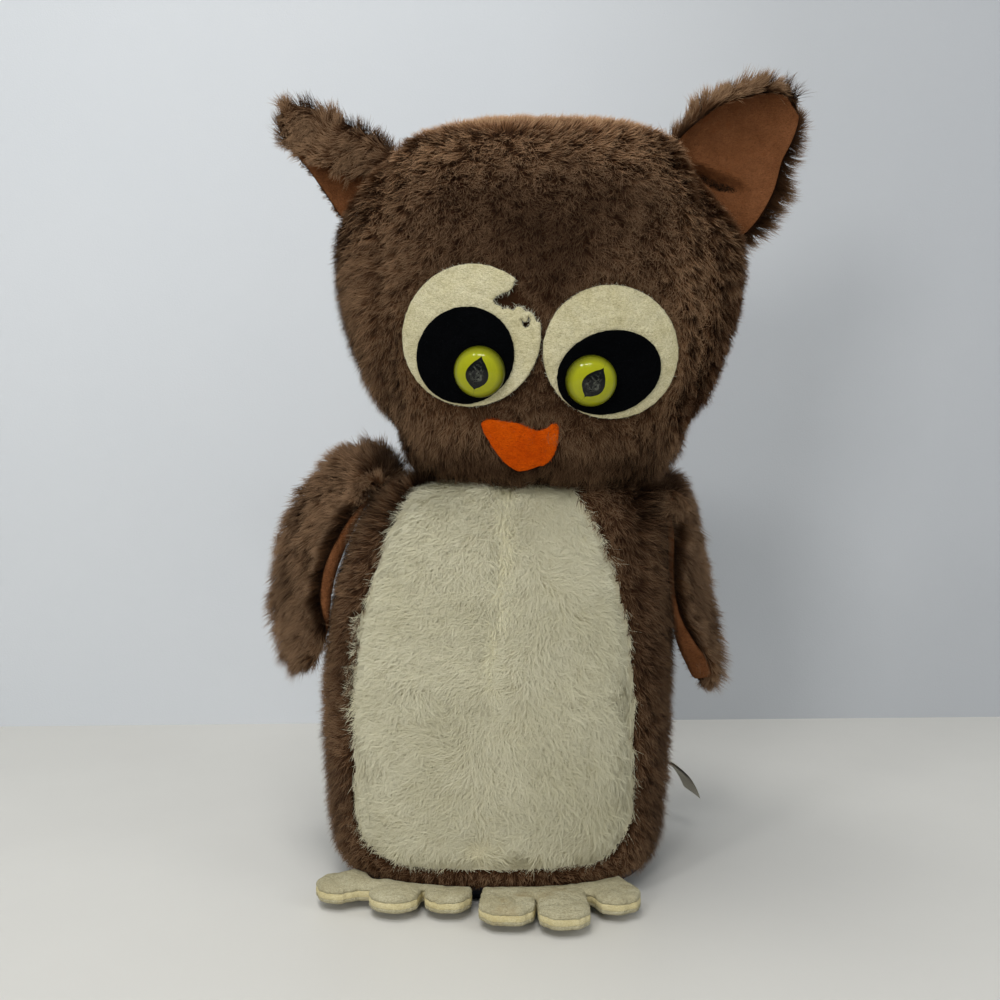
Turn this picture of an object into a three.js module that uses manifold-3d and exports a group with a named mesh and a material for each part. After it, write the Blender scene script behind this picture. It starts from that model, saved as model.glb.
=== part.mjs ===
import * as THREE from "three";
import { mergeVertices } from "three/addons/utils/BufferGeometryUtils.js";
import Module from "manifold-3d";

const wasm = await Module();
wasm.setup();

// The plush owl sits on its flat base, facing -Y, with +Z up and the origin on the floor under its middle.
// Left and right are the owl's own, so its left side is towards +X. All lengths are in millimetres.

// Clearances
const seamGap = 0.3; // between two pieces that are sewn, glued or pressed together
const hingeGap = 0.8; // round an ear's base, so that it can bend on its seam
const cutOverrun = 6; // how far a cutting form runs past what it cuts

// Cloth and felt
const plushWall = 2.4; // plush backing with the root of its pile
const eyeFelt = 1.7;
const pupilFelt = 1.2;
const beakFelt = 1.5;
const liningFelt = 1.4;
const plushRamp = 14; // an ear's or a wing's pile comes to its full depth this far from its seam

// Body
const bodyHeight = 189.5; // floor to neck seam
const bodyWidth = 166;
const bodyDepth = 132;
const bodyLean = 14; // how far the neck lies to the left of the base
const bodyLeanGrowth = 4; // the lean grows with this power of the height
const bodyRoundShare = 0.8; // 1 is an ellipse, and less is squarer
const baseSeamHeight = 9; // where the dark base cloth meets the plush
const boardThickness = 2;

// Body rows: height, half width and half depth
const bodyRowShares = [
  [0, 0.795, 0.76],
  [0.014, 0.87, 0.845],
  [0.045, 0.925, 0.92],
  [0.11, 0.955, 0.965],
  [0.25, 0.98, 0.995],
  [0.48, 1, 1],
  [0.68, 0.99, 0.96],
  [0.83, 0.93, 0.88],
  [0.93, 0.83, 0.775],
  [1, 0.685, 0.64],
];

// White belly
const bellyWidth = 128;
const bellyFoot = 17;
const bellyTopOverNeck = 17.5; // the arch runs on past the neck seam, which cuts it
const bellyShoulderShare = 0.454; // where the sides begin to close in to the arch, up the body
const bellyCornerRadius = 24;
const bellyCentre = -1.5;
const bellySeamFoot = -7; // the centre seam's place at the floor, and at the neck
const bellySeamTop = 5;

// Head
const headHeight = 165;
const headWidth = 193;
const headDepth = 146;
const headCentre = 21;
const headForward = 4;
const headRoundShare = 0.77;
const sideSeamShare = 0.725; // of the head's width, between the seams of the two side gussets
const backSeam = 8; // the seam over the crown, behind the head's middle

// Head rows: height, half width and half depth
const headRowShares = [
  [0, 0.515, 0.56],
  [0.0475, 0.62, 0.685],
  [0.133, 0.715, 0.82],
  [0.272, 0.84, 0.93],
  [0.422, 0.932, 0.985],
  [0.57, 0.988, 1],
  [0.69, 0.995, 0.99],
  [0.79, 0.925, 0.955],
  [0.9, 0.81, 0.86],
  [0.95, 0.705, 0.75],
  [0.985, 0.55, 0.57],
  [1, 0.4, 0.4],
];

// Eyes: felt discs, a plastic eye on a ringed shank, and a lock washer inside the head
const eyeDiscRadius = 29.2;
const eyeRadius = 11;
const eyeDomeHeight = 8.5;
const eyeRimHeight = 1.4;
const shankRadius = 2.6;
const shankRingRadius = 3.3;
const shankRings = 3;
const shankRingPitch = 2;
const washerRadius = 9;
const washerThickness = 1.6;
const washerHubRadius = 5;
const washerHubHeight = 2.8;
const washerSlots = 4;
const washerSlotWidth = 0.9;
const washerSlotReach = 4.4;

// Each eye: disc centre, black felt centre and half sizes with its turn, and where the plastic eye sits.
// X is from the origin, and the rises are from the neck seam.
const eyes = {
  right: {
    discX: -10.6,
    discRise: 62.2,
    discFlatShare: 1,
    blackX: -12.7,
    blackRise: 54.1,
    blackHalfWidth: 20.8,
    blackHalfHeight: 20.2,
    blackTurnDegrees: 0,
    eyeX: -6.4,
    eyeRise: 47.6,
  },
  left: {
    discX: 48.8,
    discRise: 55.2,
    discFlatShare: 0.95,
    blackX: 48,
    blackRise: 46.6,
    blackHalfWidth: 21.8,
    blackHalfHeight: 18,
    blackTurnDegrees: -20,
    eyeX: 39.6,
    eyeRise: 43.8,
  },
};

// The torn rim of the right disc, as shares of its radius from its centre
const tearShares = [
  [0.36, 1.2],
  [0.38, 0.91],
  [0.6, 0.73],
  [0.34, 0.4],
  [0.68, 0.4],
  [0.83, 0.36],
  [0.8, 0.12],
  [0.98, 0.5],
  [1.2, 0.6],
];

// Beak: two layers of felt, its outline as shares of its width and height
const beakWidth = 32;
const beakHeight = 21;
const beakX = 10.5;
const beakRise = 15.7; // its middle above the neck seam
const beakShares = [
  [-0.5, 0.43],
  [-0.41, 0.52],
  [-0.21, 0.43],
  [0.01, 0.41],
  [0.23, 0.24],
  [0.46, 0.48],
  [0.49, 0.1],
  [0.35, -0.35],
  [-0.03, -0.48],
  [-0.21, -0.35],
  [-0.41, 0.03],
];

// How much of its pile's depth an ear or a wing has lost at its tip
const plushTipShare = 0.75;

// Ears: plush behind, felt in front, bent about the line that runs out from the head.
// An ear keeps clear of the head wherever its seam bends to, from back (below zero) to forward.
const ears = {
  right: {
    side: -1,
    seatRise: 148.2,
    length: 64,
    width: 57,
    tuck: 9,
    tipShift: 6,
    curlDegrees: 178,
    curlFromShare: -0.333,
    curlToShare: 0.167,
    curlShares: [0.8, 1, 1, 0.9, 0.5],
    layDegrees: -8,
    layShares: [0, 0.7, 1, 0.7, 0],
    plush: 6.5,
    seamPlush: 2.2,
    bendDegrees: [-10, -5, 0, 2.5, 5],
    halfWidthShares: [1, 1, 0.94, 0.76, 0.42],
    pathShares: [
      [0, 0],
      [0.33, 0.02],
      [0.66, 0],
      [1, -0.04],
    ],
  },
  left: {
    side: 1,
    seatRise: 141.2,
    length: 70,
    width: 54,
    tuck: 9,
    tipShift: 13,
    curlDegrees: 110,
    curlFromShare: -0.1,
    curlToShare: 1,
    curlShares: [0.3, 0.8, 1, 1, 0.7],
    layDegrees: -20,
    layShares: [0, 0.7, 1, 0.7, 0],
    plush: 6.5,
    seamPlush: 2.2,
    bendDegrees: [-10, -5, 0, 7, 14],
    halfWidthShares: [1, 1, 0.92, 0.72, 0.4],
    pathShares: [
      [0, 0],
      [0.33, 0.03],
      [0.66, 0.04],
      [1, 0],
    ],
  },
};

// Wings: plush outside, felt inside, sewn on by a rolled seam at the shoulder
const wingSeatDrop = 8.5; // below the neck seam
const wingRollRadius = 2.6;
const wingRollLength = 38;
const wings = {
  right: {
    side: -1,
    length: 120,
    width: 60,
    tuck: 0,
    tipShift: 0,
    curlDegrees: 24,
    curlFromShare: -1,
    curlToShare: 1,
    curlShares: [0, 0.7, 1, 0.7, 0],
    layDegrees: 26,
    layShares: [0, 0.8, 1, 1, 0.9],
    plush: 8,
    seamPlush: 2.2,
    halfWidthShares: [0.6, 0.86, 1, 1, 0.92, 0.56],
    pathShares: [
      [0, 0],
      [0.04, 0.055],
      [0.1, 0.065],
      [0.18, 0.015],
      [0.255, -0.09],
      [0.31, -0.22],
      [0.345, -0.38],
      [0.357, -0.54],
      [0.348, -0.7],
    ],
  },
  left: {
    side: 1,
    length: 120,
    width: 60,
    tuck: 0,
    tipShift: 0,
    curlDegrees: 24,
    curlFromShare: -1,
    curlToShare: 1,
    curlShares: [0, 0.7, 1, 0.7, 0],
    layDegrees: -13,
    layShares: [0, 0.7, 1, 0.9, 0.7],
    plush: 8,
    seamPlush: 2.2,
    halfWidthShares: [0.6, 0.86, 1, 1, 0.88, 0.45],
    pathShares: [
      [0, 0],
      [0.035, 0.025],
      [0.08, 0.02],
      [0.115, -0.06],
      [0.132, -0.2],
      [0.147, -0.4],
      [0.165, -0.6],
      [0.2, -0.78],
    ],
  },
};

// Feet: a foam core between two felts, three toes each, held by the seam under the belly
const footFelt = 1.4;
const footFoam = 3;
const footLift = 3.6;
const footRootShare = 0.92; // where it leaves the body, of the body's half depth
const footHeelDepth = 8; // how far the heel runs back under the rounded front edge
const toeChamfer = 5.5;

const feet = {
  right: {
    side: -1,
    x: -38,
    width: 54,
    palmDepth: 1,
  },
  left: {
    side: 1,
    x: 28,
    width: 54,
    palmDepth: 6,
  },
};

// Each toe: its place at the root, how far behind the foot's front it starts, and its turn outwards
const toes = {
  rightOuter: {
    x: -58,
    back: 12,
    turnDegrees: 64,
    length: 24,
    width: 20,
  },
  rightMiddle: {
    x: -43,
    back: 4,
    turnDegrees: 12,
    length: 18,
    width: 22,
  },
  rightInner: {
    x: -21.5,
    back: 4,
    turnDegrees: -2,
    length: 18,
    width: 21,
  },
  leftOuter: {
    x: 45,
    back: 10,
    turnDegrees: 26,
    length: 27,
    width: 21,
  },
  leftMiddle: {
    x: 27,
    back: 4,
    turnDegrees: 4,
    length: 34,
    width: 22,
  },
  leftInner: {
    x: 6,
    back: 4,
    turnDegrees: -4,
    length: 30,
    width: 24,
  },
};

// Woven loop in the left side seam, bare
const labelWidth = 20;
const labelThickness = 0.9;
const labelY = 30;
const labelRootZ = 49;
const labelRootX = 66;
const labelTipX = 104;
const labelTipZ = 23;
const labelBendX = 96;
const labelBendZ = 46;

// Mesh steps
const turnSteps = 36;
const roundSteps = 24;
const curveSteps = 8;
const acrossSteps = 12;
const lengthSteps = 9;
const integralSteps = 12;
const normalStep = 1 / 200;
const probeShares = [0.4, 1];

const materialOf = (color, roughness, metalness = 0) =>
  new THREE.MeshStandardMaterial({ color, roughness, metalness });
const materials = {
  brownPlush: () => materialOf(0x5f4634, 0.95),
  whitePlush: () => materialOf(0xcbc8b8, 0.95),
  baseCloth: () => materialOf(0x15161d, 0.9),
  eyeFelt: () => materialOf(0xd9d6bd, 0.95),
  blackFelt: () => materialOf(0x090b10, 0.95),
  beakFelt: () => materialOf(0xd25311, 0.9),
  rustFelt: () => materialOf(0x8c4f28, 0.9),
  footFelt: () => materialOf(0xcfc7a8, 0.95),
  foam: () => materialOf(0xd8c88e, 0.9),
  filling: () => materialOf(0xe6e2d8, 1),
  board: () => materialOf(0x9a7b56, 0.9),
  ribbon: () => materialOf(0xb9b39c, 0.8),
  eyePlastic: () => materialOf(0x8a8717, 0.12),
  washerPlastic: () => materialOf(0xe4e2dc, 0.45),
};

// Solids

// A closed solid from any three.js geometry, turned to face outwards
function solidOf(geometry) {
  const bare = new THREE.BufferGeometry();
  const source = geometry.index ? geometry.toNonIndexed() : geometry;
  bare.setAttribute("position", source.getAttribute("position").clone());
  const merged = mergeVertices(bare, 1e-4);
  const corners = merged.index.array;
  const kept = [];
  for (let i = 0; i < corners.length; i += 3) {
    const [a, b, c] = [corners[i], corners[i + 1], corners[i + 2]];
    if (a !== b && b !== c && c !== a) kept.push(a, b, c);
  }
  const make = (triangles) =>
    new wasm.Manifold(
      new wasm.Mesh({
        numProp: 3,
        vertProperties: merged.attributes.position.array,
        triVerts: new Uint32Array(triangles),
      }),
    );
  const made = make(kept);
  if (made.volume() > 0) return made;
  for (let i = 0; i < kept.length; i += 3) [kept[i + 1], kept[i + 2]] = [kept[i + 2], kept[i + 1]];
  return make(kept);
}

function geometryOf(solid) {
  const mesh = solid.getMesh();
  const geometry = new THREE.BufferGeometry();
  geometry.setAttribute("position", new THREE.BufferAttribute(mesh.vertProperties, mesh.numProp));
  geometry.setIndex(new THREE.BufferAttribute(mesh.triVerts, 1));
  const flat = geometry.toNonIndexed();
  flat.computeVertexNormals();
  return flat;
}

function piece(name, solid, material) {
  const mesh = new THREE.Mesh(geometryOf(solid), material());
  mesh.name = name;
  return mesh;
}

// Pieces that turn together, in a group whose origin is their pivot
function hinged(name, pivot, pieces) {
  const group = new THREE.Group();
  group.name = name;
  group.position.copy(pivot);
  for (const each of pieces) each.position.copy(pivot).negate();
  group.add(...pieces);
  return group;
}

// The slab of space between two planes that cross one axis
function slab(axis, from, to) {
  const middle = (from + to) / 2;
  const size = 2 * (bodyHeight + headHeight);
  const sides = { x: size, y: size, z: size, [axis]: to - from };
  const box = new THREE.BoxGeometry(sides.x, sides.y, sides.z);
  box.translate(...["x", "y", "z"].map((each) => (each === axis ? middle : 0)));
  return solidOf(box);
}

// An outline in the XZ plane, pushed along Y from one depth to another
function frontPrism(shape, from, to) {
  const geometry = new THREE.ExtrudeGeometry(shape, {
    depth: to - from,
    bevelEnabled: false,
    curveSegments: curveSteps,
  });
  geometry.rotateX(Math.PI / 2);
  geometry.translate(0, to, 0);
  return solidOf(geometry);
}

// An outline in the XY plane, pushed up from one height to another
function plate(shape, from, to) {
  const geometry = new THREE.ExtrudeGeometry(shape, {
    depth: to - from,
    bevelEnabled: false,
    curveSegments: curveSteps,
  });
  geometry.translate(0, 0, from);
  return solidOf(geometry);
}

const shapeOf = (points) => new THREE.Shape(points.map(([x, y]) => new THREE.Vector2(x, y)));

function ellipseShape(x, z, halfWidth, halfHeight, turn) {
  const shape = new THREE.Shape();
  shape.absellipse(x, z, halfWidth, halfHeight, 0, 2 * Math.PI, false, THREE.MathUtils.degToRad(turn));
  return shape;
}

// Stuffed bags: the body and the head are stacks of rounded oblongs

const body = {
  rowShares: bodyRowShares,
  foot: 0,
  height: bodyHeight,
  width: bodyWidth,
  depth: bodyDepth,
  roundShare: bodyRoundShare,
  centreX: (share) => bodyLean * share ** bodyLeanGrowth,
  centreY: 0,
};
const head = {
  rowShares: headRowShares,
  foot: bodyHeight + seamGap,
  height: headHeight,
  width: headWidth,
  depth: headDepth,
  roundShare: headRoundShare,
  centreX: () => headCentre,
  centreY: -headForward,
};

function bagPoint(bag, row, step) {
  const [heightShare, widthShare, depthShare] = bag.rowShares[row];
  const turn = (2 * Math.PI * step) / turnSteps;
  const squared = (value) => Math.sign(value) * Math.abs(value) ** bag.roundShare;
  return new THREE.Vector3(
    bag.centreX(heightShare) + (bag.width / 2) * widthShare * squared(Math.cos(turn)),
    bag.centreY + (bag.depth / 2) * depthShare * squared(Math.sin(turn)),
    bag.foot + bag.height * heightShare,
  );
}

function bagNormal(bag, row, step) {
  const last = bag.rowShares.length - 1;
  const up = bagPoint(bag, Math.min(row + 1, last), step).sub(bagPoint(bag, Math.max(row - 1, 0), step));
  const round = bagPoint(bag, row, step + 1).sub(bagPoint(bag, row, step - 1));
  return round.cross(up).normalize();
}

// The bag's skin moved out (or in, below zero) by an offset. An open end runs straight on past its seam.
function bagGeometry(bag, offset, openEnd = "none") {
  const rings = bag.rowShares.map((_, row) =>
    Array.from({ length: turnSteps }, (__, step) =>
      bagPoint(bag, row, step).addScaledVector(bagNormal(bag, row, step), offset),
    ),
  );
  const moved = (ring, rise) => ring.map((point) => point.clone().setZ(point.z + rise));
  if (openEnd === "bottom") rings.unshift(moved(rings[0], -cutOverrun));
  if (openEnd === "top") rings.push(moved(rings[rings.length - 1], cutOverrun));
  const middle = (ring) =>
    ring.reduce((sum, point) => sum.add(point), new THREE.Vector3()).divideScalar(ring.length);
  const corners = [];
  const triangle = (a, b, c) => corners.push(...a, ...b, ...c);
  for (let step = 0; step < turnSteps; step++) {
    const next = (step + 1) % turnSteps;
    for (let row = 0; row + 1 < rings.length; row++) {
      const [low, high] = [rings[row], rings[row + 1]];
      triangle(low[step], low[next], high[next]);
      triangle(low[step], high[next], high[step]);
    }
    const [bottom, top] = [rings[0], rings[rings.length - 1]];
    triangle(middle(bottom), bottom[next], bottom[step]);
    triangle(middle(top), top[step], top[next]);
  }
  const geometry = new THREE.BufferGeometry();
  geometry.setAttribute("position", new THREE.Float32BufferAttribute(corners, 3));
  return geometry;
}

const bagSolid = (bag, offset, openEnd) => solidOf(bagGeometry(bag, offset, openEnd));

// Where a straight line along the sight direction meets a geometry first
function hitOn(geometry, from, direction) {
  const mesh = new THREE.Mesh(geometry, new THREE.MeshBasicMaterial({ side: THREE.DoubleSide }));
  const hits = new THREE.Raycaster(from, direction).intersectObject(mesh);
  return hits.length ? hits[0].point : null;
}

// A frame on the front of the head at one place seen from the front: Z out of the skin, X to the left
function faceFrame(x, z, reach) {
  const skin = bagGeometry(head, 0);
  const ahead = -headDepth;
  const hit = (dx, dz) =>
    hitOn(skin, new THREE.Vector3(x + dx, ahead, z + dz), new THREE.Vector3(0, 1, 0));
  const sideways = hit(reach, 0).sub(hit(-reach, 0));
  const upwards = hit(0, reach).sub(hit(0, -reach));
  const out = sideways.clone().cross(upwards).normalize();
  const across = sideways.clone().addScaledVector(out, -sideways.dot(out)).normalize();
  const place = hit(0, 0);
  const frame = new THREE.Matrix4().makeBasis(across, out.clone().cross(across), out);
  return frame.setPosition(place);
}

// How far out along a frame's Z a geometry reaches within a radius of its axis. From inside, the least reach.
function reachOn(geometry, frame, radius, fromInside) {
  const inFrame = geometry.clone().applyMatrix4(frame.clone().invert());
  const start = fromInside ? -headDepth / 4 : headDepth;
  const direction = new THREE.Vector3(0, 0, fromInside ? 1 : -1);
  const reaches = [];
  for (let step = 0; step < turnSteps; step++) {
    const turn = (2 * Math.PI * step) / turnSteps;
    for (const share of probeShares) {
      const from = new THREE.Vector3(radius * share * Math.cos(turn), radius * share * Math.sin(turn), start);
      const hit = hitOn(inFrame, from, direction);
      if (hit) reaches.push(hit.z);
    }
  }
  return fromInside ? Math.min(...reaches) : Math.max(...reaches);
}

// Body: two plush sides, a white belly in two halves, a base cup, a stiff board and the filling

function bellyShape(grow) {
  const half = bellyWidth / 2 + grow;
  const foot = bellyFoot - grow;
  const corner = bellyCornerRadius + grow;
  const shoulder = bellyShoulderShare * bodyHeight;
  const rise = bodyHeight + bellyTopOverNeck + grow - shoulder;
  const shape = new THREE.Shape();
  shape.moveTo(bellyCentre - half + corner, foot);
  shape.lineTo(bellyCentre + half - corner, foot);
  shape.absarc(bellyCentre + half - corner, foot + corner, corner, -Math.PI / 2, 0, false);
  shape.absellipse(bellyCentre, shoulder, half, rise, 0, Math.PI, false, 0);
  shape.absarc(bellyCentre - half + corner, foot + corner, corner, Math.PI, 1.5 * Math.PI, false);
  return shape;
}

// Everything to one side of the centre seam, which leans as the belly's does
function halfSpace(side) {
  const low = -cutOverrun;
  const high = bodyHeight + cutOverrun;
  const seamAt = (z) => bellySeamFoot + ((bellySeamTop - bellySeamFoot) * z) / bodyHeight;
  const edge = (side * seamGap) / 2;
  const shape = shapeOf([
    [seamAt(low) + edge, low],
    [side * bodyWidth, low],
    [side * bodyWidth, high],
    [seamAt(high) + edge, high],
  ]);
  return frontPrism(shape, -bodyDepth, bodyDepth);
}

function bodyPieces() {
  const skin = bagSolid(body, 0).subtract(bagSolid(body, -plushWall, "top"));
  const upper = slab("z", baseSeamHeight + seamGap, bodyHeight + cutOverrun);
  const bellyCut = frontPrism(bellyShape(seamGap), -bodyDepth, 0);
  const bellySpace = frontPrism(bellyShape(0), -bodyDepth, 0);
  const core = bagSolid(body, -plushWall - seamGap, "top");
  const boardTop = plushWall + seamGap + boardThickness;
  const pieces = [
    piece("base_panel", skin.intersect(slab("z", -cutOverrun, baseSeamHeight)), materials.baseCloth),
    piece("base_board", core.intersect(slab("z", 0, boardTop)), materials.board),
    piece("body_stuffing", core.intersect(slab("z", boardTop + seamGap, bodyHeight)), materials.filling),
  ];
  for (const [name, side] of [
    ["left", 1],
    ["right", -1],
  ]) {
    const half = skin.intersect(upper).intersect(halfSpace(side));
    pieces.push(
      piece(`body_side_${name}`, half.subtract(bellyCut), materials.brownPlush),
      piece(`belly_${name}`, half.intersect(bellySpace), materials.whitePlush),
    );
  }
  return pieces;
}

// A bare folded ribbon that hangs out of the left side seam
function labelPiece() {
  const spine = new THREE.QuadraticBezierCurve(
    new THREE.Vector2(labelRootX, labelRootZ),
    new THREE.Vector2(labelBendX, labelBendZ),
    new THREE.Vector2(labelTipX, labelTipZ),
  );
  const edge = (side) =>
    spine.getSpacedPoints(curveSteps).map((point, step) => {
      const along = spine.getTangentAt(step / curveSteps);
      const aside = (side * labelThickness) / 2;
      return [point.x - along.y * aside, point.y + along.x * aside];
    });
  const shape = shapeOf([...edge(-1), ...edge(1).reverse()]);
  const ribbon = frontPrism(shape, labelY - labelWidth / 2, labelY + labelWidth / 2);
  return piece("side_label", ribbon.subtract(bagSolid(body, seamGap)), materials.ribbon);
}

// Head: a front panel, two side gussets and a back panel round the filling

function headPanels(eyeHoles) {
  const skin = bagSolid(head, 0).subtract(bagSolid(head, -plushWall, "bottom"));
  const halfWidth = (headWidth * sideSeamShare) / 2;
  const gap = seamGap / 2;
  const middle = slab("x", headCentre - halfWidth + gap, headCentre + halfWidth - gap);
  const front = middle.intersect(slab("y", -headDepth, backSeam - gap));
  const back = middle.intersect(slab("y", backSeam + gap, headDepth));
  const left = slab("x", headCentre + halfWidth + gap, headCentre + headWidth);
  const right = slab("x", headCentre - headWidth, headCentre - halfWidth - gap);
  const panel = (name, space) => piece(name, skin.intersect(space), materials.brownPlush);
  return [
    piece("head_front", skin.intersect(front).subtract(eyeHoles), materials.brownPlush),
    panel("head_back", back),
    panel("head_side_left", left),
    panel("head_side_right", right),
  ];
}

// A felt patch that follows the face, between two distances from its skin
const facePatch = (shape, near, far) =>
  bagSolid(head, far).subtract(bagSolid(head, near)).intersect(frontPrism(shape, -headDepth, -headForward));

const revolved = (points) => {
  const outline = points.map(([radius, height]) => new THREE.Vector2(radius, height));
  return new THREE.LatheGeometry(outline, roundSteps).rotateX(Math.PI / 2);
};

// The plastic eye: a dome on a short rim, and behind it a shank whose rings hold the washer
function eyeSolid(washerBack) {
  const outline = [];
  for (let ring = shankRings - 1; ring >= 0; ring--) {
    const place = -washerBack - seamGap - ring * shankRingPitch;
    const tip = place - shankRingPitch / 2;
    if (!outline.length) outline.push([0, tip]);
    outline.push([shankRadius, tip], [shankRingRadius, place - shankRingPitch / 4]);
    outline.push([shankRingRadius, place], [shankRadius, place]);
  }
  outline.push([shankRadius, 0], [eyeRadius, 0], [eyeRadius, eyeRimHeight]);
  for (let step = 1; step < curveSteps; step++) {
    const turn = ((Math.PI / 2) * step) / curveSteps;
    const dome = eyeDomeHeight - eyeRimHeight;
    outline.push([eyeRadius * Math.cos(turn), eyeRimHeight + dome * Math.sin(turn)]);
  }
  outline.push([0, eyeDomeHeight]);
  return solidOf(revolved(outline));
}

// The lock washer: a disc with a hub, whose slots let its fingers spring over the shank's rings
function washerSolid() {
  const bore = shankRadius + seamGap;
  const outline = [
    [bore, 0],
    [washerHubRadius, 0],
    [washerRadius, 0],
    [washerRadius, -washerThickness],
    [washerHubRadius, -washerThickness],
    [washerHubRadius, -washerHubHeight],
    [bore, -washerHubHeight],
    [bore, 0],
  ];
  let washer = solidOf(revolved(outline.reverse()));
  for (let slot = 0; slot < washerSlots; slot++) {
    const cut = new THREE.BoxGeometry(washerSlotReach, washerSlotWidth, washerHubHeight + cutOverrun);
    cut.translate(washerSlotReach / 2, 0, 0).rotateZ((2 * Math.PI * slot) / washerSlots);
    washer = washer.subtract(solidOf(cut));
  }
  return washer;
}

const tornShape = (eye) =>
  shapeOf(
    tearShares.map(([x, z]) => [
      eye.discX + x * eyeDiscRadius,
      head.foot + eye.discRise + z * eyeDiscRadius,
    ]),
  );

// One eye's felts, dome and washer, with the space that its shank and washer need
function eyeParts(name, eye) {
  const frame = faceFrame(eye.eyeX, head.foot + eye.eyeRise, eyeRadius);
  const discNear = seamGap;
  const discFar = discNear + eyeFelt;
  const blackNear = discFar + seamGap;
  const blackFar = blackNear + pupilFelt;
  const placed = (solid) => solid.transform(frame.elements);
  const cylinder = (radius, from, to) => {
    const geometry = new THREE.CylinderGeometry(radius, radius, to - from, roundSteps);
    return placed(solidOf(geometry.rotateX(Math.PI / 2).translate(0, 0, (from + to) / 2)));
  };
  const discHeight = eyeDiscRadius * eye.discFlatShare;
  const discShape = ellipseShape(eye.discX, head.foot + eye.discRise, eyeDiscRadius, discHeight, 0);
  let disc = facePatch(discShape, discNear, discFar);
  if (name === "right") disc = disc.subtract(frontPrism(tornShape(eye), -headDepth, 0));
  const blackShape = ellipseShape(
    eye.blackX,
    head.foot + eye.blackRise,
    eye.blackHalfWidth,
    eye.blackHalfHeight,
    eye.blackTurnDegrees,
  );
  const black = facePatch(blackShape, blackNear, blackFar);
  const seat = reachOn(geometryOf(black), frame, eyeRadius, false) + seamGap;
  const washerFront = reachOn(bagGeometry(head, -plushWall), frame, washerRadius, true) - seamGap;
  const washerBack = washerFront - washerHubHeight;
  const shankEnd = washerBack - seamGap - shankRings * shankRingPitch;
  const hole = cylinder(shankRadius + seamGap, shankEnd, seat + cutOverrun);
  const raised = (solid, height) => placed(solid.translate([0, 0, height]));
  return {
    pieces: [
      piece(`eye_white_${name}`, disc.subtract(hole), materials.eyeFelt),
      piece(`eye_black_${name}`, black.subtract(hole), materials.blackFelt),
      piece(`eye_${name}`, raised(eyeSolid(seat - washerBack), seat), materials.eyePlastic),
      piece(`eye_washer_${name}`, raised(washerSolid(), washerFront), materials.washerPlastic),
    ],
    hole,
    pocket: cylinder(washerRadius + seamGap, shankEnd - seamGap, seat),
  };
}

function beakPieces() {
  const middle = head.foot + beakRise;
  const shape = shapeOf(beakShares.map(([x, z]) => [beakX + x * beakWidth, middle + z * beakHeight]));
  const backFar = seamGap + beakFelt;
  const frontNear = backFar + seamGap;
  return [
    piece("beak_back", facePatch(shape, seamGap, backFar), materials.beakFelt),
    piece("beak_front", facePatch(shape, frontNear, frontNear + beakFelt), materials.beakFelt),
  ];
}

// Flaps: ears and wings are a plush layer and a felt layer on one curved sheet

const splineOf = (points) => new THREE.SplineCurve(points.map(([x, y]) => new THREE.Vector2(x, y)));

// A point of the sheet in the flap's own frame: X along the seam, Y out from it, Z over its plush side
function flapPoint(flap, out, across) {
  const path = splineOf(flap.pathShares);
  const centre = path.getPoint(out).multiplyScalar(flap.length);
  const ahead = path.getTangent(out);
  const shareOf = (shares) => splineOf(shares.map((share, index) => [index, share])).getPoint(out).y;
  const half = (flap.width / 2) * shareOf(flap.halfWidthShares);
  const curl = THREE.MathUtils.degToRad(flap.curlDegrees) * shareOf(flap.curlShares);
  const lay = THREE.MathUtils.degToRad(flap.layDegrees) * shareOf(flap.layShares);
  let along = flap.tipShift * out * out;
  let over = 0;
  for (let step = 0; step < integralSteps; step++) {
    const place = (across * (step + 0.5)) / integralSteps;
    const curled = (place - flap.curlFromShare) / (flap.curlToShare - flap.curlFromShare);
    const turn = lay + curl * THREE.MathUtils.clamp(curled, 0, 1);
    along += (half * across * Math.cos(turn)) / integralSteps;
    over -= (half * across * Math.sin(turn)) / integralSteps;
  }
  return new THREE.Vector3(along, centre.x - over * ahead.y, centre.y + over * ahead.x);
}

function flapNormal(flap, out, across) {
  const near = (value, step, low) => THREE.MathUtils.clamp(value + step, low, 1);
  const sideAt = (step) => flapPoint(flap, out, near(across, step, -1));
  const tipAt = (step) => flapPoint(flap, near(out, step, 0), across);
  const along = sideAt(normalStep).sub(sideAt(-normalStep));
  const ahead = tipAt(normalStep).sub(tipAt(-normalStep));
  return along.cross(ahead).normalize();
}

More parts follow.
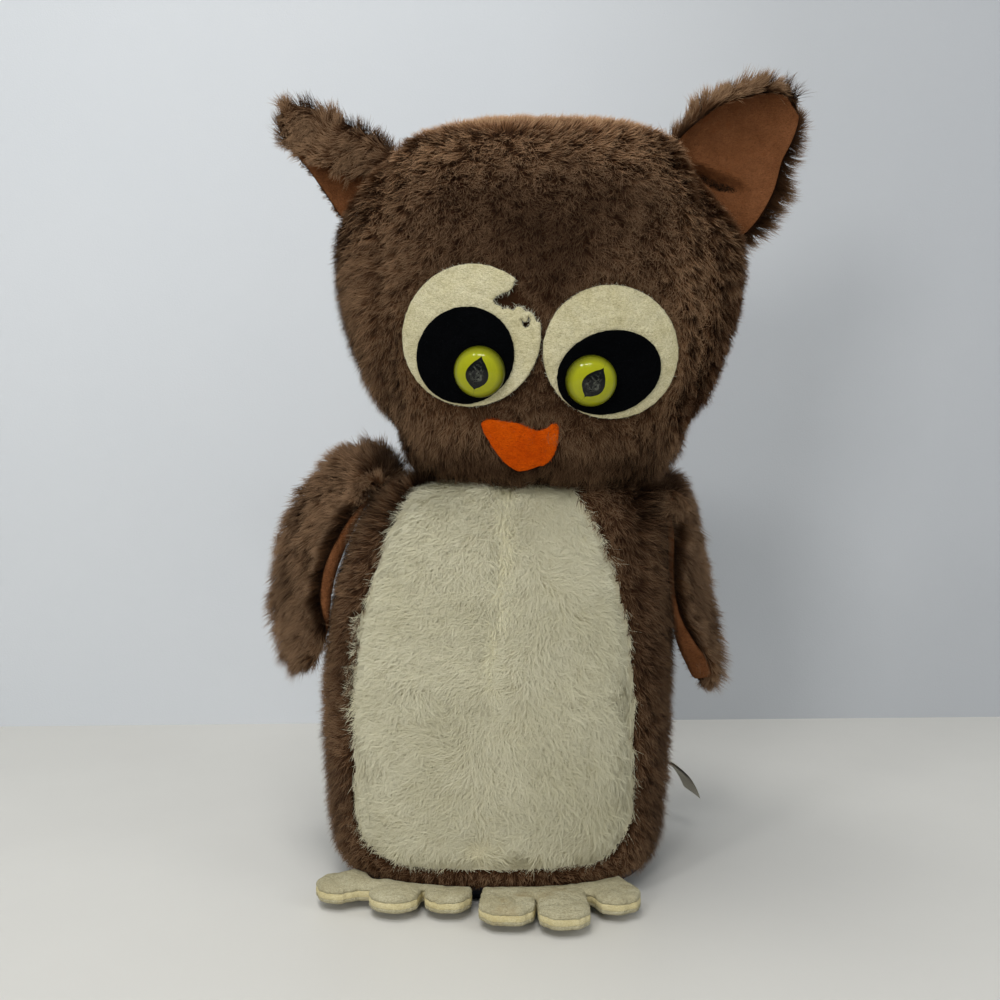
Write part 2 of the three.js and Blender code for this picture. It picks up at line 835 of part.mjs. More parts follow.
// A layer of the flap between two distances from its sheet, each a function of the place on it
function flapLayer(flap, near, far) {
  const grid = (distance) =>
    Array.from({ length: lengthSteps + 1 }, (_, row) =>
      Array.from({ length: acrossSteps + 1 }, (__, column) => {
        const out = row / lengthSteps;
        const across = (2 * column) / acrossSteps - 1;
        const normal = flapNormal(flap, out, across);
        return flapPoint(flap, out, across).addScaledVector(normal, distance(out, across));
      }),
    );
  const [low, high] = [grid(near), grid(far)];
  const corners = [];
  const quad = (a, b, c, d) => corners.push(...a, ...b, ...c, ...a, ...c, ...d);
  for (let row = 0; row < lengthSteps; row++) {
    for (let column = 0; column < acrossSteps; column++) {
      const cell = (side) => [
        side[row][column],
        side[row][column + 1],
        side[row + 1][column + 1],
        side[row + 1][column],
      ];
      quad(...cell(high));
      const [a, b, c, d] = cell(low);
      quad(a, d, c, b);
    }
    const last = acrossSteps;
    quad(low[row][last], low[row + 1][last], high[row + 1][last], high[row][last]);
    quad(low[row + 1][0], low[row][0], high[row][0], high[row + 1][0]);
  }
  for (let column = 0; column < acrossSteps; column++) {
    const end = lengthSteps;
    quad(low[0][column], low[0][column + 1], high[0][column + 1], high[0][column]);
    quad(low[end][column + 1], low[end][column], high[end][column], high[end][column + 1]);
  }
  const geometry = new THREE.BufferGeometry();
  geometry.setAttribute("position", new THREE.Float32BufferAttribute(corners, 3));
  return geometry;
}

// Pile thickness: thin at the seam and the edges, full in the middle
function plushOver(flap) {
  return (out, across) => {
    const fromSeam = THREE.MathUtils.clamp((out * flap.length - flap.tuck) / plushRamp, 0, 1);
    const rounded = Math.sqrt(1 - across ** 4) * Math.sqrt(1 - plushTipShare * out ** 2) * fromSeam;
    return seamGap / 2 + flap.seamPlush + (flap.plush - flap.seamPlush) * rounded;
  };
}

function flapSolids(flap, frame) {
  const halfGap = () => seamGap / 2;
  const plush = flapLayer(flap, halfGap, plushOver(flap));
  const lining = flapLayer(
    flap,
    () => -seamGap / 2 - liningFelt,
    () => -seamGap / 2,
  );
  return [plush, lining].map((layer) => solidOf(layer.applyMatrix4(frame)));
}

// The side of a bag at one height: its skin's place and the direction out of it, seen from the front
function sideSeat(bag, side, height) {
  const share = (height - bag.foot) / bag.height;
  const above = bag.rowShares.findIndex((row) => row[0] > share);
  const [low, high] = [above - 1, above].map((row) => bagPoint(bag, row, side > 0 ? 0 : turnSteps / 2));
  const place = low.clone().lerp(high, (height - low.z) / (high.z - low.z));
  const up = high.sub(low).normalize();
  const out = new THREE.Vector3(side * up.z, 0, -side * up.x);
  return { place, up, out };
}

function earPieces(name, ear) {
  const { place, up, out } = sideSeat(head, ear.side, head.foot + ear.seatRise);
  const frame = new THREE.Matrix4().makeBasis(up, out, new THREE.Vector3(0, 1, 0));
  frame.setPosition(place.clone().addScaledVector(out, -ear.tuck));
  const skin = bagSolid(head, hingeGap);
  const bentTo = (degrees) => {
    const turn = new THREE.Matrix4().makeRotationAxis(up, ear.side * THREE.MathUtils.degToRad(degrees));
    const there = new THREE.Matrix4().makeTranslation(place);
    const back = there.clone().invert();
    return skin.transform(there.multiply(turn).multiply(back).elements);
  };
  const clearance = ear.bendDegrees.map(bentTo).reduce((sum, solid) => sum.add(solid));
  const [plush, lining] = flapSolids(ear, frame).map((layer) => layer.subtract(clearance));
  return hinged(`ear_${name}`, place, [
    piece(`ear_${name}_plush`, plush, materials.brownPlush),
    piece(`ear_${name}_lining`, lining, materials.rustFelt),
  ]);
}

function wingPieces(name, wing) {
  const { place, out } = sideSeat(body, wing.side, bodyHeight - wingSeatDrop);
  const axis = place.addScaledVector(out, wingRollRadius + seamGap);
  const frame = new THREE.Matrix4().makeBasis(
    new THREE.Vector3(0, wing.side, 0),
    new THREE.Vector3(wing.side, 0, 0),
    new THREE.Vector3(0, 0, 1),
  );
  frame.setPosition(axis);
  const roll = (radius) => {
    const cylinder = new THREE.CylinderGeometry(radius, radius, wingRollLength, roundSteps / 2);
    return solidOf(cylinder.translate(axis.x, axis.y, axis.z));
  };
  const [plush, lining] = flapSolids(wing, frame);
  const rolled = plush.add(roll(wingRollRadius));
  const clearance = bagSolid(body, seamGap);
  const liningCut = roll(wingRollRadius + seamGap).add(clearance);
  return hinged(`wing_${name}`, axis, [
    piece(`wing_${name}_plush`, rolled.subtract(clearance), materials.brownPlush),
    piece(`wing_${name}_lining`, lining.subtract(liningCut), materials.rustFelt),
  ]);
}

// Feet: one outline of a heel and three blunt toes, cut into felt, foam and felt

function toeShape({ length, width }) {
  const half = width / 2;
  return shapeOf([
    [-half, 0],
    [half, 0],
    [half, length - toeChamfer],
    [half - toeChamfer, length],
    [toeChamfer - half, length],
    [-half, length - toeChamfer],
  ]);
}

function footPieces(name, foot) {
  const thickness = 2 * footFelt + footFoam + 2 * seamGap;
  const top = footLift + thickness;
  const front = -(bodyDepth / 2) * footRootShare;
  const heel = front + footHeelDepth;
  const palm = front - foot.palmDepth;
  const layers = {
    sole: [footLift, footLift + footFelt, materials.footFelt],
    foam: [footLift + footFelt + seamGap, top - footFelt - seamGap, materials.foam],
    top: [top - footFelt, top, materials.footFelt],
  };
  const clearance = bagSolid(body, seamGap);
  const ownToes = Object.entries(toes).flatMap(([toeName, toe]) => (toeName.startsWith(name) ? [toe] : []));
  const pieces = Object.entries(layers).map(([layer, [from, to, material]]) => {
    const heelShape = shapeOf([
      [foot.x - foot.width / 2, palm],
      [foot.x + foot.width / 2, palm],
      [foot.x + foot.width / 2, heel],
      [foot.x - foot.width / 2, heel],
    ]);
    let solid = plate(heelShape, from, to);
    for (const toe of ownToes) {
      const geometry = new THREE.ExtrudeGeometry(toeShape(toe), { depth: to - from, bevelEnabled: false });
      geometry.rotateZ(Math.PI + foot.side * THREE.MathUtils.degToRad(toe.turnDegrees));
      geometry.translate(toe.x, front + toe.back, from);
      solid = solid.add(solidOf(geometry));
    }
    return piece(`foot_${name}_${layer}`, solid.subtract(clearance), material);
  });
  return hinged(`foot_${name}`, new THREE.Vector3(foot.x, front - seamGap, top), pieces);
}

// The whole owl

function owl() {
  const group = new THREE.Group();
  group.add(...bodyPieces(), labelPiece());
  const eyeSets = Object.entries(eyes).map(([name, eye]) => eyeParts(name, eye));
  const joined = (solids) => solids.reduce((sum, solid) => sum.add(solid));
  const pockets = joined(eyeSets.map((set) => set.pocket));
  const core = bagSolid(head, -plushWall - seamGap, "bottom");
  const filling = core.intersect(slab("z", head.foot, head.foot + headHeight)).subtract(pockets);
  const onHead = [
    piece("head_stuffing", filling, materials.filling),
    ...headPanels(joined(eyeSets.map((set) => set.hole))),
    ...eyeSets.flatMap((set) => set.pieces),
    ...beakPieces(),
  ];
  const neck = new THREE.Vector3((bodyLean + headCentre) / 2, -headForward / 2, bodyHeight);
  const headGroup = hinged("head", neck, onHead);
  for (const [name, ear] of Object.entries(ears)) {
    const earGroup = earPieces(name, ear);
    earGroup.position.sub(neck);
    headGroup.add(earGroup);
  }
  group.add(headGroup);
  for (const [name, wing] of Object.entries(wings)) group.add(wingPieces(name, wing));
  for (const [name, foot] of Object.entries(feet)) group.add(footPieces(name, foot));
  return group;
}

export default owl();
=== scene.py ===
"""The plush owl of the photograph: strand fur on lumpy skins, cut felts, domed eyes and foam feet."""
import math

import bpy
import numpy as np
from mathutils import Matrix, Vector
from mathutils.geometry import delaunay_2d_cdt


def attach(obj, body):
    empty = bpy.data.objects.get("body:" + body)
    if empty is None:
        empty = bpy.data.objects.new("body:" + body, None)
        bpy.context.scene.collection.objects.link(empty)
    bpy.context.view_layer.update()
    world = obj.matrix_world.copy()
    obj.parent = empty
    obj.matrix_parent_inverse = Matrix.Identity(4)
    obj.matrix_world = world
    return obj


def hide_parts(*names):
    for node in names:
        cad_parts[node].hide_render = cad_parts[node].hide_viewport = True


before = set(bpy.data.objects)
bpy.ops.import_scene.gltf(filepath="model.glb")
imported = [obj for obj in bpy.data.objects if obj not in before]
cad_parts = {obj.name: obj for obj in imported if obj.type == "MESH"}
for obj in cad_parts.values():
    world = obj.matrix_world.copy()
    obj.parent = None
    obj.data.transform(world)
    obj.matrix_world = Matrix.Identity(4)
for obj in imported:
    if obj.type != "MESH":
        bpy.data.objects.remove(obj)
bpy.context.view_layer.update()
MM = 0.001
scene = bpy.context.scene

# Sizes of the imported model, in millimetres
BODY = dict(foot=0, height=189.5, width=166, depth=132, round=0.8, y=0)
BODY["rows"] = [(0, 0.795, 0.76), (0.014, 0.87, 0.845), (0.045, 0.925, 0.92), (0.11, 0.955, 0.965),
                (0.25, 0.98, 0.995), (0.48, 1, 1), (0.68, 0.99, 0.96), (0.83, 0.93, 0.88),
                (0.93, 0.83, 0.775), (1, 0.685, 0.64), (1.012, 0.4, 0.37)]
HEAD = dict(foot=189.8, height=165, width=193, depth=146, round=0.77, y=-4)
HEAD["rows"] = [(-0.006, 0.3, 0.32), (0, 0.515, 0.56), (0.0475, 0.62, 0.685), (0.133, 0.715, 0.82),
                (0.272, 0.84, 0.93), (0.422, 0.932, 0.985), (0.57, 0.988, 1), (0.69, 0.995, 0.99),
                (0.79, 0.925, 0.955), (0.9, 0.81, 0.86), (0.95, 0.705, 0.75), (0.985, 0.55, 0.57),
                (1, 0.4, 0.4), (1.004, 0.02, 0.02)]
BODY["x"] = lambda share: 14 * np.clip(share, 0, 1) ** 4
HEAD["x"] = lambda share: 21 + 0 * share
BASE_SEAM = 9
HEAD_SEAM_LEFT, HEAD_SEAM_RIGHT, HEAD_SEAM_BACK = 91, -49, 8
BELLY_MIDDLE, BELLY_HALF, BELLY_FOOT, BELLY_CORNER = -1.5, 64, 17, 24
ARCH_FOOT, ARCH_HEIGHT = 86, 121
QUICK = 1.0


# Noise

def lattice(i, j, k, seed):
    h = i * 374761393 + j * 668265263 + k * 1442695041 + seed * 362437
    h = (h ^ (h >> 13)) * 1274126177 & 0x7FFFFFFF
    h = (h ^ (h >> 16)) * 668265263 & 0x7FFFFFFF
    return ((h ^ (h >> 11)) & 0xFFFFF) / 0xFFFFF


def noise(p, size, seed=0):
    """Smooth noise from -1 to 1 at the points p, with features about size across."""
    q = p / size
    base = np.floor(q).astype(np.int64)
    f = q - base
    f = f * f * (3 - 2 * f)
    total = 0
    for corner in range(8):
        d = [(corner >> axis) & 1 for axis in range(3)]
        weight = 1
        for axis in range(3):
            weight = weight * (f[:, axis] if d[axis] else 1 - f[:, axis])
        total = total + weight * lattice(*(base[:, axis] + d[axis] for axis in range(3)), seed)
    return 2 * total - 1


def fractal(p, size, seed=0, octaves=3):
    total = sum(noise(p, size / 2**n, seed + n) / 2**n for n in range(octaves))
    return total / (2 - 2.0 ** (1 - octaves))


def clumps(p, size, seed):
    """The nearest of the points scattered one to a cell, and a random number of its own."""
    cell = np.floor(p / size).astype(np.int64)
    best, own, centre = np.full(len(p), np.inf), np.zeros(len(p)), np.zeros_like(p)
    for step in range(27):
        c = cell + np.array([step % 3 - 1, step // 3 % 3 - 1, step // 9 - 1])
        at = np.stack([c[:, a] + lattice(*c.T, seed + a) for a in range(3)], 1) * size
        far = ((at - p) ** 2).sum(1)
        near = far < best
        best[near], centre[near] = far[near], at[near]
        own[near] = lattice(*c[near].T, seed + 7)
    return centre, own


def wander(p, size, seed):
    return np.stack([noise(p, size, seed + k) for k in range(3)], 1)


# Small sums

def full_turn(count):
    return np.linspace(0, 2 * math.pi, count, endpoint=False)


def unit(v):
    return v / np.maximum(np.linalg.norm(v, axis=-1, keepdims=True), 1e-9)


def rise(v, start, span):
    """0 at start, 1 at start + span and level beyond. With a span below zero it runs the other way."""
    return np.clip((v - start) / span, 0, 1)


def dent(distance, width):
    return np.exp(-((distance / width) ** 2))


def spot(x, z, middle, size):
    return np.exp(-((x - middle[0]) / size[0]) ** 2 - ((z - middle[1]) / size[1]) ** 2)


def curve(p0, p1, p2, p3, w):
    """The smooth curve from p1 to p2, w of the way along."""
    v0, v1 = (p2 - p0) / 2, (p3 - p1) / 2
    return (2 * p1 - 2 * p2 + v0 + v1) * w**3 + (-3 * p1 + 3 * p2 - 2 * v0 - v1) * w**2 + v0 * w + p1


def spline(points, t):
    """A smooth curve through the points, at t from 0 to 1, as three.js draws it."""
    points = np.asarray(points, float)
    if points.ndim == 1:
        points = points[:, None]
    n = len(points)
    place = np.clip(t, 0, 1) * (n - 1)
    i = np.minimum(place.astype(int), n - 2)
    return curve(*(points[np.clip(i + k, 0, n - 1)] for k in (-1, 0, 1, 2)), (place - i)[..., None])


def run(values, t):
    """The same through single numbers."""
    return spline(values, t)[..., 0]


# Skins of the stuffed bags

def bag_point(bag, turn, t):
    rows = spline(bag["rows"], t)
    h, w, d = rows[..., 0], rows[..., 1], rows[..., 2]
    squared = lambda v: np.sign(v) * np.abs(v) ** bag["round"]
    return np.stack([
        bag["x"](h) + bag["width"] / 2 * w * squared(np.cos(turn)),
        bag["y"] + bag["depth"] / 2 * d * squared(np.sin(turn)),
        bag["foot"] + bag["height"] * h,
    ], -1)


def bag_normal(bag, turn, t):
    round_ = bag_point(bag, turn + 2e-3, t) - bag_point(bag, turn - 2e-3, t)
    up = bag_point(bag, turn, np.minimum(t + 1e-3, 1)) - bag_point(bag, turn, np.maximum(t - 1e-3, 0))
    return unit(np.cross(round_, up))


def belly_edge(p):
    """How far inside the belly's arch a point is seen from the front, below zero outside."""
    x, z = np.abs(p[:, 0] - BELLY_MIDDLE), p[:, 2]
    up = np.maximum(z - ARCH_FOOT, 0) / ARCH_HEIGHT
    arch = (1 - np.sqrt((x / BELLY_HALF) ** 2 + up**2)) * BELLY_HALF
    corner_x, corner_z = BELLY_HALF - BELLY_CORNER, BELLY_FOOT + BELLY_CORNER
    corner = BELLY_CORNER - np.hypot(np.maximum(x - corner_x, 0), np.maximum(corner_z - z, 0))
    side = BELLY_HALF - x
    low = np.where((x > corner_x) & (z < corner_z), corner, np.minimum(z - BELLY_FOOT, side))
    return np.where(p[:, 1] < 0, np.where(z > ARCH_FOOT, arch, np.minimum(low, side)), -30)


def belly_seam(z):
    return -7 + 12 * z / BODY["height"]


def lumps(bag, p):
    """How far the stuffing and the seams let the skin sink, in millimetres."""
    x, y, z = p.T
    sunk = 1.1 + 1.1 * fractal(p, 34, 3) + 0.35 * noise(p, 11, 5)
    if bag is HEAD:
        for seam in (HEAD_SEAM_LEFT, HEAD_SEAM_RIGHT):
            sunk = sunk + 2.2 * dent(x - seam, 4.5)
        sunk = sunk + 1.6 * dent(y - HEAD_SEAM_BACK, 4) * (z > 240)
        sunk = sunk + 7 * np.exp(-(((p - [106, -38, 334]) / [24, 32, 26]) ** 2).sum(1))
    else:
        sunk = sunk + 2.4 * dent(belly_edge(p), 4) * (y < 0)
        sunk = sunk + 2.6 * np.clip((z - 60) / 60, 0.15, 1) * dent(x - belly_seam(z), 4.5) * (y < 0)
        sunk = sunk + 1.5 * dent(x - belly_seam(z), 4) * (y > 0)
    return np.maximum(sunk, 0)


def skin(bag, turn, t, lift=0.0):
    shape = np.broadcast(turn, t).shape
    turn, t = (np.broadcast_to(v, shape).ravel() for v in (turn, t))
    p, n = bag_point(bag, turn, t), bag_normal(bag, turn, t)
    return (p + n * (lift - lumps(bag, p))[:, None]).reshape(*shape, 3)


def panel_of(bag, p):
    """The name of the panel that each point of a bag lies on."""
    x, y, z = p.T
    if bag is HEAD:
        names = np.where(y < HEAD_SEAM_BACK, "head_front", "head_back")
        names = np.where(x > HEAD_SEAM_LEFT, "head_side_left", names)
        return np.where(x < HEAD_SEAM_RIGHT, "head_side_right", names)
    left = x > belly_seam(z)
    names = np.where(left, "body_side_left", "body_side_right")
    names = np.where(belly_edge(p) > 0, np.where(left, "belly_left", "belly_right"), names)
    return np.where(z < BASE_SEAM, "base_panel", names)


def half_sizes(bag, z):
    """The share of a bag's height at the heights z, and half its width and depth there."""
    rows = spline(bag["rows"], np.linspace(0, 1, 600))
    share = (z - bag["foot"]) / bag["height"]
    w = np.interp(share, rows[:, 0], rows[:, 1]) * bag["width"] / 2
    return share, w, np.interp(share, rows[:, 0], rows[:, 2]) * bag["depth"] / 2


def face_depth(x, z):
    """Y of the head's smooth skin seen from the front."""
    share, w, d = half_sizes(HEAD, z)
    cos = np.clip(np.abs(x - HEAD["x"](share)) / w, 0, 1) ** (1 / HEAD["round"])
    return HEAD["y"] - d * np.sqrt(1 - cos**2) ** HEAD["round"]


def face_place(points, heights):
    """Points of the front view, that far over the head's skin."""
    x, z = points.T
    slope_x = face_depth(x + 0.5, z) - face_depth(x - 0.5, z)
    slope_z = face_depth(x, z + 0.5) - face_depth(x, z - 0.5)
    n = unit(np.stack([slope_x, -np.ones_like(x), slope_z], -1))
    return np.stack([x, face_depth(x, z), z], -1) + n * np.asarray(heights)[..., None]


def inside_bag(bag, p, grow):
    share, w, d = half_sizes(bag, p[:, 2])
    w, d = np.maximum(w + grow, 1e-9), np.maximum(d + grow, 1e-9)
    power = 2 / bag["round"]
    out = (np.abs(p[:, 0] - bag["x"](share)) / w) ** power + (np.abs(p[:, 1] - bag["y"]) / d) ** power
    return (out < 1) & (share > -grow / bag["height"]) & (share < 1 + grow / bag["height"])


# Materials

class Graph:
    """A material's nodes, made one call each: a value is a constant, a socket or a node's first output."""

    def __init__(self, name):
        self.made = bpy.data.materials.new(name)
        self.made.use_nodes = True
        self.nodes, self.links = self.made.node_tree.nodes, self.made.node_tree.links
        self.shader = self.nodes["Principled BSDF"]

    def node(self, kind, inputs=None, **settings):
        n = self.nodes.new("ShaderNode" + kind)
        for key, value in settings.items():
            setattr(n, key, value)
        for key, value in (inputs or {}).items():
            self.put(n.inputs[key], value)
        return n

    def put(self, socket, value):
        if isinstance(value, bpy.types.Node):
            value = value.outputs[0]
        if isinstance(value, bpy.types.NodeSocket):
            self.links.new(value, socket)
            return
        colour = socket.type == "RGBA" and isinstance(value, tuple) and len(value) == 3
        socket.default_value = (*value, 1) if colour else value

    def math(self, operation, a, b=0.0, clamp=False):
        return self.node("Math", {0: a, 1: b}, operation=operation, use_clamp=clamp)

    def ramp(self, value, stops):
        n = self.node("ValToRGB", {0: value})
        while len(n.color_ramp.elements) < len(stops):
            n.color_ramp.elements.new(0.5)
        for element, (place, colour) in zip(n.color_ramp.elements, stops):
            element.position = place
            element.color = (*colour, 1) if isinstance(colour, tuple) else (colour, colour, colour, 1)
        return n

    def mix(self, share, a, b, blend="MIX"):
        return self.node("Mix", {0: share, 6: a, 7: b}, data_type="RGBA", blend_type=blend).outputs[2]

    def noise(self, scale, detail=3.0, rough=0.55, vector=None, distortion=0.0):
        inputs = {"Scale": scale, "Detail": detail, "Roughness": rough, "Distortion": distortion}
        inputs["Vector"] = vector or self.coordinates()
        return self.node("TexNoise", inputs).outputs[0]

    def coordinates(self):
        if not hasattr(self, "place"):
            self.place = self.node("TexCoord").outputs["Object"]
        return self.place

    def bump(self, height, distance):
        return self.node("Bump", {"Height": height, "Distance": distance, "Strength": 1.0})

    def finish(self, colour, rough, shine, relief=None, **inputs):
        """The material, with its values on the shader's own sockets."""
        inputs.update(Base_Color=colour, Roughness=rough, Specular_IOR_Level=shine)
        if relief is not None:
            inputs["Normal"] = relief
        for key, value in inputs.items():
            self.put(self.shader.inputs[key.replace("_", " ")], value)
        return self.made


def rgb(r, g, b):
    """An sRGB colour from 0 to 255 as the linear values that nodes take."""
    return tuple((v / 255 / 12.92 if v <= 10 else ((v / 255 + 0.055) / 1.055) ** 2.4) for v in (r, g, b))


def strand_material(name, along_stops, tone_stops, rough, shine):
    """Coloured along each strand, darker at its root as painted shade among the strands, and by the strand's
    own tone, which the attribute fibre holds.
    """
    g = Graph(name)
    fibre = g.node("Attribute", attribute_name="fibre").outputs["Vector"]
    along, tone, _ = g.node("SeparateXYZ", {0: fibre}).outputs
    return g.finish(g.mix(1.0, g.ramp(along, along_stops), g.ramp(tone, tone_stops), "MULTIPLY"), rough, shine)


def fur_material(name, root, middle, tip, dark, light, rough, shine):
    return strand_material(name, [(0.0, root), (0.45, middle), (1.0, tip)],
                           [(0.0, dark), (0.5, 1.0), (1.0, light)], rough, shine)


def fuzz_material(name, colour):
    dim, bright = (tuple(min(1.0, share * c) for c in colour) for share in (0.75, 1.15))
    return strand_material(name, [(0.0, 0.85), (1.0, 1.0)], [(0.0, dim), (1.0, bright)], 0.8, 0.2)


def backing_material(name, dark, light):
    """The woven backing and the matted pile that show between the strands; its darkness is partly painted
    shade deep among them.
    """
    g = Graph(name)
    patches, fine = g.noise(160.0, 4.0), g.noise(1400.0, 3.0)
    colour = g.mix(0.35, g.mix(patches, dark, light), g.ramp(fine, [(0.3, dark), (0.7, light)]))
    return g.finish(colour, 0.95, 0.1, g.bump(fine, 0.0006))


def felt_material(name, base, dark, light, stain=None, relief=0.0006, shine=0.12):
    """Pressed felt: cloudy colour, a tangle of short fibres and a matted relief."""
    g = Graph(name)
    clouds = g.noise(70.0, 4.0, 0.6)
    ways = [g.node("Mapping", {"Vector": g.coordinates(), "Scale": scale, "Rotation": turn})
            for scale, turn in (((1.0, 2.2, 3.0), (0.4, 0.9, 0.2)), ((3.2, 1.0, 1.4), (1.1, 0.3, 0.8)))]
    fibres = g.math("ADD", g.noise(1500.0, 5.0, 0.7, ways[0], 1.2), g.noise(1300.0, 5.0, 0.7, ways[1], 1.5))
    fibres = g.math("MULTIPLY", fibres, 0.5)
    pits, grain = g.noise(300.0, 2.0, 0.5), g.noise(850.0, 2.0, 0.6, ways[0])
    colour = g.mix(g.ramp(clouds, [(0.35, 0.0), (0.68, 1.0)]), base, light)
    for spots, stops in ((fibres, [(0.4, 0.75), (0.54, 0.0)]), (pits, [(0.28, 0.22), (0.45, 0.0)]),
                         (grain, [(0.34, 0.4), (0.5, 0.0)])):
        colour = g.mix(g.ramp(spots, stops), colour, dark)
    if stain:
        colour = g.mix(g.ramp(g.noise(38.0, 5.0, 0.65), [(0.6, 0.0), (0.74, 0.6)]), colour, stain)
    height = g.math("ADD", g.math("MULTIPLY", pits, 2.4), grain)
    height = g.math("ADD", g.math("MULTIPLY", fibres, 0.15), height)
    return g.finish(colour, 0.92, shine, g.bump(height, relief))


def cloth_material(name, base, light, pitch=0.0011, shine=0.25):
    """Plain weave: two crossed sets of threads."""
    g = Graph(name)
    x, y, z = g.node("SeparateXYZ", {0: g.coordinates()}).outputs
    across = g.math("ADD", x, z)
    along = g.math("SUBTRACT", y, g.math("MULTIPLY", z, 0.7))
    threads = [g.math("SINE", g.math("MULTIPLY", way, 2 * math.pi / pitch)) for way in (across, along)]
    weave = g.math("MAXIMUM", *threads)
    colour = g.mix(g.math("MULTIPLY", g.math("ADD", weave, 1.0), 0.3, True), base, light)
    colour = g.mix(g.ramp(g.noise(60.0, 4.0), [(0.5, 0.0), (0.8, 0.35)]), colour, light)
    return g.finish(colour, 0.85, shine, g.bump(weave, 0.00015))


# Root, middle and tip colours of the fur: the dark roots are painted shade deep in the pile, the light tips
# painted sheen.
BROWN = fur_material("brown_strands", rgb(38, 23, 12), rgb(77, 52, 32), rgb(148, 119, 91),
                     (0.4, 0.37, 0.34), (1.75, 1.76, 1.76), 0.8, 0.1)
WHITE = fur_material("white_strands", rgb(200, 193, 161), rgb(208, 203, 175), rgb(218, 214, 189),
                     (0.84, 0.83, 0.76), (1.2, 1.2, 1.16), 0.7, 0.15)
BROWN_BACKING = backing_material("brown_backing", rgb(36, 21, 11), rgb(60, 38, 21))
WHITE_BACKING = backing_material("white_backing", rgb(190, 182, 149), rgb(208, 201, 172))
BASE_CLOTH = cloth_material("base_weave", rgb(17, 19, 30), rgb(44, 48, 62))
RIBBON = cloth_material("ribbon_weave", rgb(206, 200, 180), rgb(232, 227, 212), 0.0009, 0.3)
EYE_WHITE = felt_material("eye_white_felt", rgb(216, 207, 166), rgb(150, 140, 98), rgb(230, 223, 189),
                          rgb(184, 170, 124), relief=0.0009)
EYE_BLACK = felt_material("eye_black_felt", rgb(3, 4, 5), rgb(1, 1, 2), rgb(6, 7, 9), shine=0.04)
BEAK_FELT = felt_material("beak_orange_felt", rgb(202, 77, 3), rgb(160, 50, 1), rgb(218, 94, 8), shine=0.05,
                          relief=0.0009)
RUST_FELT = felt_material("rust_lining_felt", rgb(112, 70, 41), rgb(72, 42, 24), rgb(130, 84, 53),
                          rgb(100, 52, 22), shine=0.06, relief=0.0007)
FOOT_FELT = felt_material("foot_top_felt", rgb(178, 170, 138), rgb(128, 118, 88), rgb(198, 192, 162),
                          rgb(150, 130, 88))
FOOT_FOAM = felt_material("foot_foam", rgb(208, 196, 150), rgb(174, 158, 110), rgb(220, 210, 170),
                          rgb(180, 158, 104), relief=0.0003)
WHITE_FUZZ = fuzz_material("eye_white_fuzz", rgb(220, 217, 192))
BLACK_FUZZ = fuzz_material("eye_black_fuzz", rgb(8, 9, 12))
BEAK_FUZZ = fuzz_material("beak_fuzz", rgb(224, 98, 26))


# Meshes

def linked(name, data):
    made = bpy.data.objects.new(name, data)
    scene.collection.objects.link(made)
    return made


def mesh_object(name, points, faces, material, smooth=True):
    mesh = bpy.data.meshes.new(name)
    mesh.from_pydata((np.asarray(points) * MM).tolist(), [], [list(map(int, f)) for f in faces])
    mesh.materials.append(material)
    mesh.polygons.foreach_set("use_smooth", [smooth] * len(mesh.polygons))
    mesh.update()
    return linked(name, mesh)


def placed(piece, body, slot, *nodes):
    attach(piece, body)
    if nodes:
        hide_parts(*nodes)
    return piece


def grid_faces(rows, columns, ring):
    i, j = np.meshgrid(np.arange(rows - 1), np.arange(columns if ring else columns - 1), indexing="ij")
    near, far, k = i * columns, (i + 1) * columns, (j + 1) % columns
    return np.stack([near + j, near + k, far + k, far + j], -1).reshape(-1, 4)


def ring_caps(count, across):
    """Fans that close a tube of that many points in rings, round the two points that come after them."""
    last = count - across
    around = [(k, (k + 1) % across) for k in range(across)]
    return [(count, b, a) for a, b in around] + [(count + 1, last + a, last + b) for a, b in around]


ROOT_DEPTH = 0.4
TAPER = 0.75
MOST_LEAN, MOST_BEND = 1.5, 1.62


